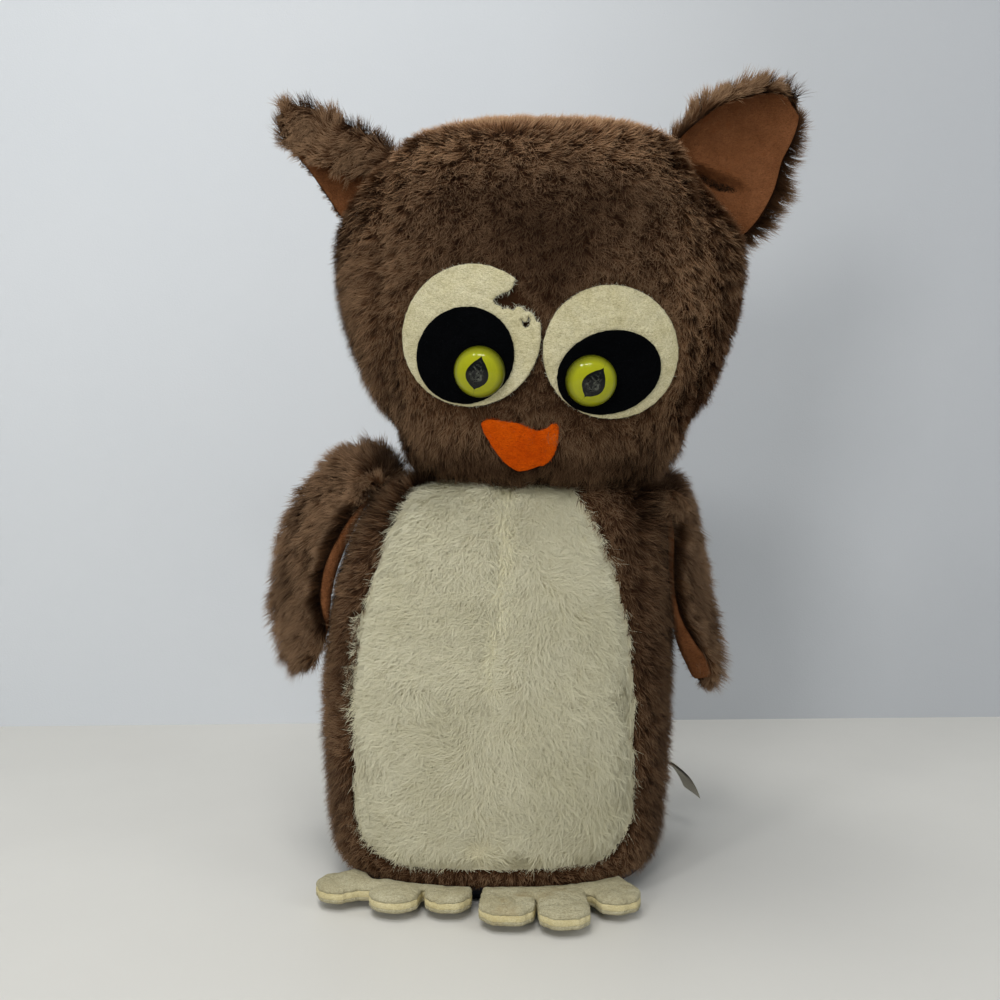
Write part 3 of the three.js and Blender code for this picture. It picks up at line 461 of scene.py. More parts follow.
def strand_mesh(roots, normals, flow, length, lean, width, tone, *, segments=2, droop=0.4, clump=4.0,
                pull=0.55, curl=0.0, seed=0, roll=0.5, spread=0.25):
    """Thin tapered ribbons: their points, normals and tones. Each leans from its normal towards the flow, and
    droops further along. Strands of one clump lean alike and close up towards its middle."""
    r = np.random.default_rng(seed)
    n = len(roots)
    centre, own = clumps(roots, clump, seed + 11)
    own_lean, own_length = own * 7.13 % 1, own * 13.7 % 1
    flow = unit(flow - normals * (flow * normals).sum(1, keepdims=True))
    aside = np.cross(normals, flow)
    swing = ((own - 0.5) * 1.3 + r.normal(0, spread, n))[:, None]
    flow = flow * np.cos(swing) + aside * np.sin(swing)
    lean = np.clip(lean * (1 + 0.25 * (own_lean - 0.5)) + r.normal(0, 0.12, n), 0.05, MOST_LEAN)
    length = length * (0.85 + 0.3 * own_length) * r.uniform(0.8, 1.15, n)
    to_centre = centre - roots
    to_centre -= normals * (to_centre * normals).sum(1, keepdims=True)
    steps = np.linspace(0, 1, segments + 1)
    wave = r.uniform(0, 2 * math.pi, n)
    path = [roots - normals * ROOT_DEPTH]
    for k in range(segments):
        angle = np.minimum(lean + droop * (k + 0.5) / segments, MOST_BEND)[:, None]
        ahead = normals * np.cos(angle) + flow * np.sin(angle)
        if np.any(curl):
            ahead = unit(ahead + aside * (curl * np.sin(wave + 2.6 * k))[:, None])
        path.append(path[-1] + ahead * (length / segments)[:, None])
    path = np.stack(path, 1) + to_centre[:, None] * (pull * steps**1.3)[:, None]
    ahead = unit(np.gradient(path, axis=1))
    flat = unit(np.cross(ahead, normals[:, None]))
    tilt = r.uniform(-roll, roll, n)[:, None, None]
    across = flat * np.cos(tilt) + np.cross(ahead, flat) * np.sin(tilt)
    half = (width * r.uniform(0.75, 1.25, n) / 2)[:, None, None] * (1 - TAPER * steps[:-1])[:, None]
    points = np.empty((n, 2 * segments + 1, 3))
    points[:, 0:-1:2] = path[:, :-1] - across[:, :-1] * half
    points[:, 1:-1:2] = path[:, :-1] + across[:, :-1] * half
    points[:, -1] = path[:, -1]
    lit = np.repeat(unit(0.4 * np.cross(across, ahead) + 0.6 * normals[:, None]), 2, axis=1)[:, :-1]
    return points, lit, np.clip(tone + r.normal(0, 0.06, n), 0, 1)


def strands(name, material, *bundles):
    """Strand bundles of one number of segments, as one mesh. The attribute fibre says how far along its
    strand a point is, and the strand's tone."""
    points, lit, tone = (np.concatenate(parts) for parts in zip(*bundles))
    n, each = points.shape[:2]
    segments = each // 2
    pattern = [2 * k + c for k in range(segments - 1) for c in (0, 1, 3, 2)]
    pattern = np.array(pattern + [each - 3, each - 2, each - 1])
    corners = (each * np.arange(n)[:, None] + pattern).ravel()
    starts = (len(pattern) * np.arange(n)[:, None] + 4 * np.arange(segments)).ravel()
    along = np.append(np.repeat(np.linspace(0, 1, segments + 1)[:-1], 2), 1.0)
    fibre = np.stack([np.tile(along, n), np.repeat(tone, each), np.zeros(n * each)], 1)
    side = np.append(np.tile([0.15, 0.85], segments), 0.5)
    column = (np.floor(tone * 47.99)[:, None] + side[pattern]) / 48
    uv = np.stack([column.ravel(), np.tile(along[pattern] * 0.96 + 0.02, n)], 1)
    mesh = bpy.data.meshes.new(name)
    mesh.vertices.add(n * each)
    mesh.vertices.foreach_set("co", (points * MM).astype(np.float32).ravel())
    mesh.loops.add(len(corners))
    mesh.loops.foreach_set("vertex_index", corners.astype(np.int32))
    mesh.polygons.add(len(starts))
    mesh.polygons.foreach_set("loop_start", starts.astype(np.int32))
    mesh.update(calc_edges=True)
    held = mesh.attributes.new("fibre", "FLOAT_VECTOR", "POINT")
    held.data.foreach_set("vector", fibre.astype(np.float32).ravel())
    mesh.uv_layers.new(name="OFBake").data.foreach_set("uv", uv.astype(np.float32).ravel())
    mesh.materials.append(material)
    mesh.shade_smooth()
    mesh.normals_split_custom_set_from_vertices(lit.reshape(-1, 3).tolist())
    return linked(name, mesh)


# Fur roots on a bag

ROOT_GRID = 240, 200


def roots_on(bag, panel, per_mm2, seed):
    """Roots spread over one panel of a bag, each with its normal."""
    r = np.random.default_rng(seed)
    across, tall = ROOT_GRID
    u, v = np.meshgrid(np.linspace(0, 2 * math.pi, across + 1), np.linspace(0, 1, tall + 1), indexing="ij")
    p = skin(bag, u, v)
    a, b, c = p[:-1, :-1], p[1:, :-1], p[:-1, 1:]
    area = np.linalg.norm(np.cross(b - a, c - a), axis=-1)
    middle = ((a + p[1:, 1:]) / 2).reshape(-1, 3)
    share = np.where(panel_of(bag, middle) == panel, area.ravel(), 0)
    count = int(share.sum() * per_mm2)
    cell = r.choice(len(share), count, p=share / share.sum())
    turn = (cell // tall + r.random(count)) * 2 * math.pi / across
    t = (cell % tall + r.random(count)) / tall
    side = skin(bag, turn + 4e-3, t) - skin(bag, turn - 4e-3, t)
    up = skin(bag, turn, np.minimum(t + 2e-3, 1)) - skin(bag, turn, np.maximum(t - 2e-3, 0))
    return skin(bag, turn, t), unit(np.cross(side, up))


# Stage, lights and camera, which stands half a metre in front of the owl. Through it a metre of the plane
# at the owl's middle is 2000 pixels of the photograph

CAMERA_BACK, EYE_LEVEL = 0.5, 193
PHOTO_MIDDLE = 497, 474

camera = linked("camera", bpy.data.cameras.new("camera"))
camera.location = (0.0015, -CAMERA_BACK, EYE_LEVEL * MM)
camera.rotation_euler = (math.radians(88.5), 0, 0)
camera.data.lens, camera.data.sensor_width = 36, 36
camera.data.clip_start = 0.01
scene.camera = camera
scene.view_settings.view_transform = "Standard"

world = bpy.data.worlds.new("world")
scene.world = world
world.use_nodes = True
sky = world.node_tree.nodes["Background"].inputs
sky[0].default_value, sky[1].default_value = (*rgb(218, 223, 228), 1), 0.46

# Each lamp's name, place, target, size, watts and colour, and whether it shows in gloss
LAMPS = [
    ("window", (-0.56, -1.25, 0.42), (0, 0.1, 0.2), (0.32, 0.32), 5.8, (1.0, 0.985, 0.96), False),
    ("ceiling", (-0.3, -0.2, 1.9), (0, 0, 0.2), (0.9, 0.5), 11.2, (1.0, 0.99, 0.97), False),
    ("tube", (-0.02, -0.68, 0.86), (0.02, -0.08, 0.24), (0.32, 0.06), 1.75, (1, 1, 1), True),
    ("bulb", (-0.36, -0.56, 0.86), (0.02, -0.08, 0.24), (0.11, 0.11), 1.1, (1, 1, 1), True),
    ("fill_right", (1.1, -0.6, 0.7), (0, 0, 0.2), (0.5, 0.5), 2.7, (0.97, 0.98, 1.0), False),
]
for name, place, target, size, power, colour, glossy in LAMPS:
    lamp = linked(name, bpy.data.lights.new(name, "AREA"))
    lamp.data.shape, lamp.data.size, lamp.data.size_y = "RECTANGLE", *size
    lamp.data.energy, lamp.data.color = power, colour
    lamp.location = place
    lamp.rotation_euler = (Vector(target) - Vector(place)).to_track_quat("-Z", "Y").to_euler()
    lamp.visible_glossy = glossy


def wall_material():
    """A painted wall with one side: from behind the camera looks through it."""
    g = Graph("wall_paint")
    behind = g.node("NewGeometry").outputs["Backfacing"]
    hidden = g.math("MULTIPLY", behind, g.node("LightPath").outputs["Is Camera Ray"])
    shown = g.node("MixShader", {0: hidden, 1: g.shader, 2: g.node("BsdfTransparent")})
    g.links.new(shown.outputs[0], g.nodes["Material Output"].inputs[0])
    x = g.node("SeparateXYZ", {0: g.coordinates()}).outputs[0]
    # Painted shade: the wall's colour darkens towards the right, away from the lamps.
    aside = g.ramp(g.math("ADD", g.math("MULTIPLY", x, 1.2), 0.4),
                   [(0.0, 1.0), (0.42, 0.95), (0.68, 0.77), (1.0, (0.72, 0.72, 0.73))])
    colour = g.mix(g.noise(6.0, 3.0), rgb(216, 219, 222), rgb(211, 215, 219))
    return g.finish(g.mix(1.0, colour, aside, "MULTIPLY"), 0.7, 0.2, g.bump(g.noise(900.0, 2.0), 0.0001))


def floor_material():
    g = Graph("floor_board")
    wide = g.noise(9.0, 4.0)
    colour = g.mix(wide, rgb(213, 211, 204), rgb(206, 204, 198))
    rough = g.ramp(wide, [(0.3, 0.42), (0.7, 0.5)])
    return g.finish(colour, rough, 0.35, g.bump(g.noise(500.0, 3.0), 0.00005))


def stage_plane(name, corners, material):
    mesh_object(name, np.array(corners) * 1000, [(0, 1, 2, 3)], material, False)


# The floor runs on behind the camera. The wall stands slightly turned to the camera
STAGE = 3.0
WALL_BACK, WALL_MIDDLE, WALL_SLOPE = 0.2595, -0.38, 0.0315 / 0.8
ends = [(x, WALL_BACK + WALL_SLOPE * (x - WALL_MIDDLE)) for x in (-STAGE, STAGE)]
stage_plane("floor", [(-STAGE, -STAGE, 0), (STAGE, -STAGE, 0), (STAGE, STAGE, 0), (-STAGE, STAGE, 0)],
            floor_material())
stage_plane("wall", [(*ends[0], 0), (*ends[1], 0), (*ends[1], STAGE), (*ends[0], STAGE)], wall_material())


# Outlines in millimetres, seen from the front or from above

def from_photo(points, depth):
    """Places seen by the camera at that depth, from pixels of the photograph to millimetres."""
    scale = CAMERA_BACK + depth * MM
    middle = np.array(PHOTO_MIDDLE)
    return (np.array(points) - middle) * [scale, -scale] + [0, EYE_LEVEL]


def oval(x, z, wide, high, turn=0.0, steps=140):
    a = full_turn(steps)
    px, pz = wide * np.cos(a), high * np.sin(a)
    c, s = math.cos(math.radians(turn)), math.sin(math.radians(turn))
    return np.stack([x + px * c - pz * s, z + px * s + pz * c], 1)


def resampled(loop, step):
    closed = np.vstack([loop, loop[:1]])
    along = np.concatenate([[0], np.cumsum(np.linalg.norm(np.diff(closed, axis=0), axis=1))])
    at = np.linspace(0, along[-1], max(8, int(along[-1] / step)), endpoint=False)
    return np.stack([np.interp(at, along, closed[:, k]) for k in range(2)], 1)


def within(points, loop):
    """Whether 2-D points lie inside a closed outline."""
    x, y = points[:, 0:1], points[:, 1:2]
    a, b = loop, np.roll(loop, -1, 0)
    crosses = (a[:, 1] > y) != (b[:, 1] > y)
    slope = (b[:, 0] - a[:, 0]) / np.where(np.abs(b[:, 1] - a[:, 1]) < 1e-12, 1e-12, b[:, 1] - a[:, 1])
    return (crosses & (x < a[:, 0] + slope * (y - a[:, 1]))).sum(1) % 2 == 1


def edge_distance(points, loop):
    a, b = loop, np.roll(loop, -1, 0)
    d = b - a
    best = np.full(len(points), np.inf)
    for k in range(0, len(points), 4000):
        p = points[k:k + 4000, None]
        t = np.clip(((p - a) * d).sum(-1) / np.maximum((d * d).sum(-1), 1e-12), 0, 1)
        best[k:k + 4000] = np.linalg.norm(p - a - t[..., None] * d, axis=-1).min(1)
    return best


def outward_of(loop):
    """The ways out of a closed outline, whichever way round it runs."""
    ahead = unit(np.roll(loop, -1, 0) - np.roll(loop, 1, 0))
    after = np.roll(loop, -1, 0)
    signed = (loop[:, 0] * after[:, 1] - after[:, 0] * loop[:, 1]).sum()
    return np.stack([ahead[:, 1], -ahead[:, 0]], 1) * (1 if signed > 0 else -1)


def smooth_loop(points, steps):
    """A closed outline rounded through its points."""
    p = np.asarray(points, float)[:, None]
    w = (np.arange(steps) / steps)[:, None]
    return curve(*(np.roll(p, k, 0) for k in (1, 0, -1, -2)), w).reshape(-1, 2)


def rounded_loop(loop, step=0.8, passes=6):
    """The same outline with its small flats taken off."""
    loop = resampled(loop, step)
    for _ in range(passes):
        loop = 0.5 * loop + 0.25 * (np.roll(loop, 1, 0) + np.roll(loop, -1, 0))
    return loop


def flat_place(points, heights):
    return np.c_[points, heights]


def level(points):
    return flat_place(points, 0 * points[:, 0])


# Felts

def felt_patch(name, material, outline, place, near, thick, *, holes=(), step=1.2, ragged=0.12, relief=0.12,
               edge=0.7, seed=0, warp=None):
    """A piece of felt cut to an outline: flat below, its top rounded off towards the cut edge.
    place(points, heights) puts it on its surface. Its cut edges and its area come with it."""
    rough = [resampled(np.asarray(l, float), 0.6) for l in (outline, *holes)]
    rough = [l + ragged * wander(level(l), 1.7, seed + 1)[:, :2] for l in rough]
    lo, hi = rough[0].min(0), rough[0].max(0)
    inner = np.stack(np.meshgrid(np.arange(lo[0], hi[0], step), np.arange(lo[1], hi[1], step * 0.866)), -1)
    inner[1::2, :, 0] += step / 2
    inner = inner.reshape(-1, 2)
    inner = inner + step * 0.2 * np.random.default_rng(seed).uniform(-1, 1, inner.shape)
    insets = np.concatenate([loop + outward_of(loop) * (d if index else -d)
                             for index, loop in enumerate(rough) for d in (edge * 0.25, edge * 0.7)])

    def inside(points):
        kept = within(points, rough[0])
        for hole in rough[1:]:
            kept &= ~within(points, hole)
        return kept

    def far(points):
        return np.min([edge_distance(points, l) for l in rough], 0)

    def clear(points, least):
        points = points[inside(points)]
        return points[far(points) > least]

    points = np.concatenate([*rough, clear(insets, edge * 0.18), clear(inner, edge * 1.1)])
    edges, base = [], 0
    for loop in rough:
        edges += [(base + k, base + (k + 1) % len(loop)) for k in range(len(loop))]
        base += len(loop)
    out = delaunay_2d_cdt([Vector(p) for p in points], edges, [], 0, 1e-6)
    points = np.array([tuple(p) for p in out[0]])
    triangles = np.array([f for f in out[2] if len(f) == 3])
    triangles = triangles[inside(points[triangles].mean(1))]
    used, triangles = np.unique(triangles, return_inverse=True)
    points, triangles = points[used], triangles.reshape(-1, 3)
    crown = np.sqrt(np.clip(1 - (1 - np.minimum(far(points) / edge, 1)) ** 2, 0, 1))
    spots = level(points)
    uneven = 0.6 * relief * (noise(spots, 2.2, seed + 5) + noise(spots, 5.5, seed + 6)) * crown
    bent = warp(points) if warp else 0
    top = near + thick * (0.5 + 0.5 * crown) + uneven + bent
    bottom = near + thick * (0.5 - 0.5 * crown) + bent
    n = len(points)
    sides = dict.fromkeys((tri[k], tri[(k + 1) % 3]) for tri in triangles for k in range(3))
    rim = [(b, a, a + n, b + n) for a, b in sides if (b, a) not in sides]
    made = mesh_object(name, np.concatenate([place(points, top), place(points, bottom)]),
                       [*triangles, *(triangles[:, ::-1] + n), *rim], material)
    a, b, c = points[triangles].transpose(1, 0, 2)
    return made, rough, float(np.abs(np.cross(b - a, c - a)).sum() / 2)


def edge_fuzz(loops, place, height, length, per_mm, *, seed, width=0.16, only=None):
    """Loose fibres round a felt's cut edge."""
    r = np.random.default_rng(seed)
    bundles = []
    for loop in loops:
        fine = resampled(loop, 1 / per_mm)
        outward = outward_of(fine)
        start = fine - outward * 0.3
        if only is not None:
            kept = only(fine)
            start, outward = start[kept], outward[kept]
        heights = height * r.uniform(0.35, 1.0, len(start))
        root = place(start, heights)
        out = unit(place(start + outward * 0.5, heights) - root)
        up = unit(place(start, heights + 0.5) - root)
        flow = unit(out + 0.8 * r.normal(0, 1, out.shape))
        sizes = length * r.uniform(0.4, 1.4, len(start))
        bundles.append(strand_mesh(root, up, flow, sizes, 1.25, width, 0.6, segments=3, droop=0.3, clump=2.0,
                                   pull=0.1, curl=0.7, seed=seed, roll=1.5))
    return bundles


DISCS = {"right": dict(x=-10.6, z=252, wide=29.4, high=29.4),
         "left": dict(x=48.8, z=245, wide=29.2, high=27.6)}
BLACKS = {"right": dict(x=-12.7, z=243.9, wide=20.4, high=19.8),
          "left": dict(x=47.6, z=236.8, wide=22.4, high=16.8, turn=16)}
DISC_LOOPS = {side: oval(**disc) for side, disc in DISCS.items()}
BEAK = smooth_loop(from_photo([
    (483, 421), (488, 417), (497, 417), (508, 419), (520, 421), (530, 426), (539, 429), (546, 427), (553, 422),
    (558, 424), (559, 434), (558, 446), (554, 458), (548, 465), (538, 468), (526, 471), (517, 470), (508, 464),
    (500, 455), (493, 444), (486, 432)], -70), 4)
BEAK[:, 1] = 217 - 0.86 * (217 - BEAK[:, 1])
BEAK_INSIDE = BEAK.mean(0) + 0.92 * (BEAK - BEAK.mean(0))
# The torn rim of the right disc: a bite, a slit that runs in under the upper lip, and a small hole
TEAR = from_photo([
    (548, 262), (515, 283), (513, 289), (509, 293), (503, 294), (497, 297), (494, 301), (496, 305), (501, 307),
    (503, 310), (509, 309), (514, 311), (518, 307), (522, 308), (526, 312), (530, 312), (534, 315), (537, 322),
    (560, 318)], -78)
HOLE = from_photo([
    (522, 319), (525, 322), (528, 321), (529, 316), (531, 320), (530, 326), (526, 328), (523, 325)], -78)


# The skins and their fur

SKIN_GRID = 168, 90
SKIN_DEPTH = 0.3


def skin_piece(name, bag, panel, material):
    across, tall = SKIN_GRID
    u, v = np.meshgrid(full_turn(across), np.linspace(0, 1, tall))
    p = skin(bag, u, v, -SKIN_DEPTH).reshape(-1, 3)
    faces = grid_faces(tall, across, True)
    faces = faces[panel_of(bag, p[faces].mean(1)) == panel]
    used, faces = np.unique(faces, return_inverse=True)
    return mesh_object(name, p[used], faces.reshape(-1, 4), material)


BAGS = {"head": (HEAD, ["head_front", "head_back", "head_side_left", "head_side_right"]),
        "torso": (BODY, ["body_side_left", "body_side_right", "belly_left", "belly_right"])}
for body, (bag, panels) in BAGS.items():
    for panel in panels:
        white = panel.startswith("belly")
        piece = skin_piece(f"{panel}_backing", bag, panel, WHITE_BACKING if white else BROWN_BACKING)
        placed(piece, body, "white_plush" if white else "brown_plush", panel)

PILE_WIDTH = 0.3 / QUICK**0.5
SHORT_PILE = dict(clump=3.3, pull=0.58, spread=0.45)


def felt_gap(p):
    """How far a point of the face lies outside the eye felts, below zero under them."""
    flat = p[:, [0, 2]]
    best = np.full(len(p), 99.0)
    near = (p[:, 1] < -20) & (p[:, 2] < 292) & (p[:, 2] > 208)
    for loop in DISC_LOOPS.values():
        gap = edge_distance(flat[near], loop) * np.where(within(flat[near], loop), -1, 1)
        best[near] = np.minimum(best[near], gap)
    return best


def head_fur(panel, density, seed):
    p, n = roots_on(HEAD, panel, density, seed)
    gap = felt_gap(p)
    under = np.flatnonzero((p[:, 1] < -50) & (p[:, 2] < 222))
    keep = gap > -1.0
    keep[under[within(p[under][:, [0, 2]], BEAK_INSIDE)]] = False
    p, n, gap = p[keep], n[keep], gap[keep]
    x, _, z = p.T
    flow = np.array([0.0, -0.15, -1.0]) + 1.0 * wander(p, 46, 40) + 0.55 * wander(p, 15, 50)
    crown = rise(z, 328, 22)[:, None]
    flow = flow * (1 - crown) + crown * (np.array([0, 0.5, -0.3]) + 0.8 * wander(p, 30, 60))
    low = np.clip(gap / 9, 0, 1)
    around = np.clip(1 - gap / 8, 0, 1)[:, None]
    for loop in DISC_LOOPS.values():
        aside, above = (p[:, [0, 2]] - loop.mean(0)).T
        away = unit(np.stack([aside, 0 * x, above], 1))
        close = np.clip(1.15 - np.hypot(aside, above) / 40, 0, 1)[:, None]
        flow = flow + 3.0 * away * around * close
    seam = np.minimum(np.abs(x - HEAD_SEAM_LEFT), np.abs(x - HEAD_SEAM_RIGHT))
    length = (8.2 + 1.2 * fractal(p, 30, 70)) * (0.6 + 0.4 * low) * (1 - 0.35 * crown[:, 0])
    length = length * (1 - 0.3 * dent(seam, 4))
    for root in ((-66, -16, 336), (108, -30, 332)):
        length = length * (1 - 0.5 * np.exp(-((p - root) ** 2).sum(1) / 1000))
    lean = 0.66 + 0.22 * fractal(p, 24, 80) + 0.6 * (1 - low)
    # Tone: random patches and a darker patch low between the eye felts; painted light on the crown and the
    # sides, most on the owl's left side, which the lamps leave in shade; painted shade on the chin, along the
    # seams and on the forehead.
    tone = 0.46 + 0.38 * fractal(p, 26, 90, 3) + 0.1 * noise(p, 4, 95) + 0.9 * rise(z, 312, 34)
    tone += 0.16 * rise(np.abs(x - 21), 42, 22) + 0.75 * rise(x, 66, 22)
    tone -= 0.6 * rise(z, 216, -16) + 0.25 * dent(seam, 3.5)
    tone -= 0.42 * spot(x, z, (22, 298), (38, 28)) + 0.2 * spot(x, z, (20, 226), (48, 20))
    return strand_mesh(p, n, flow, length, lean, PILE_WIDTH, tone, seed=seed, **SHORT_PILE)


def side_fur(panel, density, seed):
    p, n = roots_on(BODY, panel, density, seed)
    x, y, z = p.T
    outward = np.sign(x - 4)[:, None] * np.array([1.0, 0, 0])
    flow = np.array([0.0, 0.1, -1.0]) + 0.45 * outward + 0.9 * wander(p, 40, 41) + 0.5 * wander(p, 14, 51)
    near = dent(np.minimum(-belly_edge(p), 12), 6) * (y < 0)
    foot = rise(z, BASE_SEAM, 14)
    shoulder = dent(z - 178, 13) * (np.abs(x - 12) > 50)
    feet_gap = dent(x + 8, 8) * rise(z, 16, -9)
    length = (8.6 + 1.4 * fractal(p, 28, 71)) * (1 - 0.3 * near) * (0.5 + 0.5 * foot)
    length = length * (1 + 0.9 * shoulder) * (1 - 0.65 * feet_gap)
    lean = 0.7 + 0.22 * fractal(p, 22, 81) + 0.3 * (1 - foot) - 0.45 * shoulder
    tone = 0.44 + 0.34 * fractal(p, 22, 91, 3) + 0.1 * noise(p, 4, 96)
    # Darker low between the feet, and darker on the owl's left side as painted shade.
    tone -= 0.45 * feet_gap + 0.15 * rise(x, 50, 20)
    return strand_mesh(p, n, flow, length, lean, PILE_WIDTH, tone, seed=seed, **SHORT_PILE)


def belly_fur(panel, density, seed):
    p, n = roots_on(BODY, panel, density, seed)
    x, _, z = p.T
    outward = np.stack([np.clip((x + 2) / 40, -1, 1), 0 * x, 0 * x], 1)
    rim = np.clip(1 - belly_edge(p) / 16, 0, 1)
    inner = 1 - rim[:, None]
    tidy = np.clip((z - 105) / 50 - np.clip(x / 60, 0, 1), 0, 1)[:, None]
    flow = np.array([0.0, 0.0, -0.75]) + 0.9 * outward * inner + 0.25 * rim[:, None] * outward
    flow = flow + (1 - 0.65 * tidy) * (1.1 * wander(p, 30, 42) + 0.9 * wander(p, 12, 52))
    flow = flow + 0.35 * wander(p, 22, 43)
    ridge = dent(x - belly_seam(z), 3.2) * rise(z, 70, 60)
    length = (8.6 + 1.6 * fractal(p, 22, 72)) * (1 - 0.2 * rim) * (1 + 0.15 * ridge)
    length = length * (0.72 + 0.28 * rise(z, BELLY_FOOT, 16))
    lean = 1.05 + 0.2 * fractal(p, 20, 82) + 0.2 * rim
    tone = 0.42 + 0.3 * fractal(p, 22, 92, 3) + 0.08 * noise(p, 6, 97) + 0.75 * ridge
    return strand_mesh(p, n, flow, length, lean, PILE_WIDTH, tone, segments=3, clump=2.8, pull=0.45,
                       curl=0.3 - 0.24 * rim, droop=0.5, spread=0.5, seed=seed)


# The strands of each panel, to a square millimetre
PILES = [
    ("head", head_fur, BROWN, "brown_plush", 100,
     {"head_front": 2.3, "head_back": 1.2, "head_side_left": 2.0, "head_side_right": 2.0}),
    ("torso", side_fur, BROWN, "brown_plush", 200, {"body_side_left": 1.7, "body_side_right": 1.7}),
    ("torso", belly_fur, WHITE, "white_plush", 210, {"belly_left": 3.0, "belly_right": 3.0}),
]
for body, fur_of, material, slot, seed, panels in PILES:
    for index, (panel, density) in enumerate(panels.items()):
        fur = fur_of(panel, density * QUICK, seed + index)
        placed(strands(f"{panel}_pile", material, fur), body, slot)


# Filling and base

def filling_material():
    g = Graph("loose_filling")
    wisps = g.noise(220.0, 6.0, 0.7, None, 2.0)
    return g.finish(g.mix(wisps, rgb(214, 208, 194), rgb(240, 237, 228)), 0.95, 0.1, g.bump(wisps, 0.001))


FILLING = filling_material()
FILLING_GRID = 72, 48
FILLING_DEPTH = 4.2


def t_at(bag, heights):
    """Where along its rows a bag reaches the heights."""
    t = np.linspace(0, 1, 400)
    return np.interp(heights, bag["foot"] + bag["height"] * spline(bag["rows"], t)[:, 0], t)


def filling_piece(name, bag, low, high, body, node):
    across, tall = FILLING_GRID
    u, v = (a.ravel() for a in np.meshgrid(full_turn(across), t_at(bag, np.linspace(low, high, tall))))
    p = bag_point(bag, u, v)
    p = p - bag_normal(bag, u, v) * (FILLING_DEPTH + lumps(bag, p) + 0.6 * fractal(p, 20, 6))[:, None]
    points = np.vstack([p, p[:across].mean(0), p[-across:].mean(0)])
    made = mesh_object(name, points, [*grid_faces(tall, across, True), *ring_caps(len(p), across)], FILLING)
    placed(made, body, "filling", node)


filling_piece("body_filling", BODY, 5, 189, "torso", "body_stuffing")
filling_piece("head_filling", HEAD, 190.2, 354, "head", "head_stuffing")


def base_piece():
    across, flat = SKIN_GRID[0], (0.172, 0.138)
    rings = [skin(BODY, full_turn(across), t, -0.4) for t in t_at(BODY, [BASE_SEAM - 0.2, 6, 3.5, 1.8, 0.7])]
    floor_ring = rings[-1] * [1, 1, 0] + [0, 0, 0.05]
    middle = floor_ring.mean(0)
    rings += [middle + (floor_ring - middle) * share for share in (0.99, 0.9, 0.75, 0.5, 0.25)]
    p = np.concatenate(rings)
    last = len(p) - across
    caps = [(len(p), last + (k + 1) % across, last + k) for k in range(across)]
    faces = grid_faces(len(rings), across, True)[:, ::-1]
    made = mesh_object("base_cover", np.vstack([p, middle]), [*faces, *caps], BASE_CLOTH)
    placed(made, "torso", "base_cloth", "base_panel")


base_piece()


# Eye felts and beak

def cut_away(loop, bite):
    """An outline without the part that lies in the bite. The bite crosses it at two places."""
    fine = resampled(loop, 0.5)
    out = ~within(fine, bite)
    start = np.flatnonzero(out & ~np.roll(out, 1))[0]
    fine, out = np.roll(fine, -start, 0), np.roll(out, -start)
    kept = fine[out]
    inner = bite[within(bite, loop)]
    if np.linalg.norm(inner[0] - kept[-1]) > np.linalg.norm(inner[-1] - kept[-1]):
        inner = inner[::-1]
    return np.vstack([kept, inner])


def eye_felts(side):
    disc = DISC_LOOPS[side]
    cut_loop, holes, lift = disc, [], None
    if side == "right":
        cut_loop, holes = cut_away(disc, TEAR), [HOLE]
        lift = lambda p: 1.3 * np.exp(-((p - np.array([13.0, 279.0])) ** 2).sum(1) / 60)
    white, cut, area = felt_patch(f"eye_white_{side}_felt", EYE_WHITE, cut_loop, face_place, 0.5, 1.8,
                                  holes=holes, seed=21, ragged=0.16, relief=0.28, step=1.0, warp=lift)
    placed(white, "head", "eye_felt", f"eye_white_{side}")
    torn = lambda q: edge_distance(q, resampled(disc, 0.6)) > 0.5
    fuzz = edge_fuzz(cut[:1], face_place, 1.9, 1.3, 2.6, seed=22, only=lambda q: ~torn(q))
    if side == "right":
        fuzz += edge_fuzz(cut[:1], face_place, 2.0, 2.2, 5.0, seed=23, width=0.2, only=torn)
        fuzz += edge_fuzz(cut[1:], face_place, 2.0, 1.4, 4.0, seed=24, width=0.18)
    placed(strands(f"eye_white_{side}_fuzz", WHITE_FUZZ, *fuzz), "head", "eye_felt")
    black = oval(**BLACKS[side])
    patch, cut, area = felt_patch(f"eye_black_{side}_felt", EYE_BLACK, black, face_place, 2.5, 1.2, seed=25,
                                  ragged=0.14, edge=0.5)
    placed(patch, "head", "black_felt", f"eye_black_{side}")
    fuzz = edge_fuzz(cut, face_place, 3.3, 0.9, 4.0, seed=26, width=0.12)
    placed(strands(f"eye_black_{side}_fuzz", BLACK_FUZZ, *fuzz), "head", "black_felt")


for side in ("right", "left"):
    eye_felts(side)


def beak_layer(name, node, near, shift, seed):
    loop = BEAK + shift
    bowed = lambda p: 1.6 * np.clip((203 - p[:, 1]) / 10, 0, 1.2) ** 1.3 + 0.5 * np.sin(p[:, 0] / 5)
    felt, cut, area = felt_patch(name, BEAK_FELT, loop, face_place, near, 1.6, seed=seed, ragged=0.2,
                                 relief=0.2, warp=bowed)
    placed(felt, "head", "beak_felt", node)
    return edge_fuzz(cut, lambda p, h: face_place(p, h + bowed(p)), near + 1.7, 1.1, 3.5, seed=seed)


beak_fuzz = beak_layer("beak_back_felt", "beak_back", 1.0, [0.5, -0.5], 31)
beak_fuzz += beak_layer("beak_front_felt", "beak_front", 2.8, [0.0, 0.0], 32)
placed(strands("beak_fuzz", BEAK_FUZZ, *beak_fuzz), "head", "beak_felt")


# Plastic eyes

EYE_RADIUS, EYE_RIM, DOME_HEIGHT = 11, 1.3, 7.2


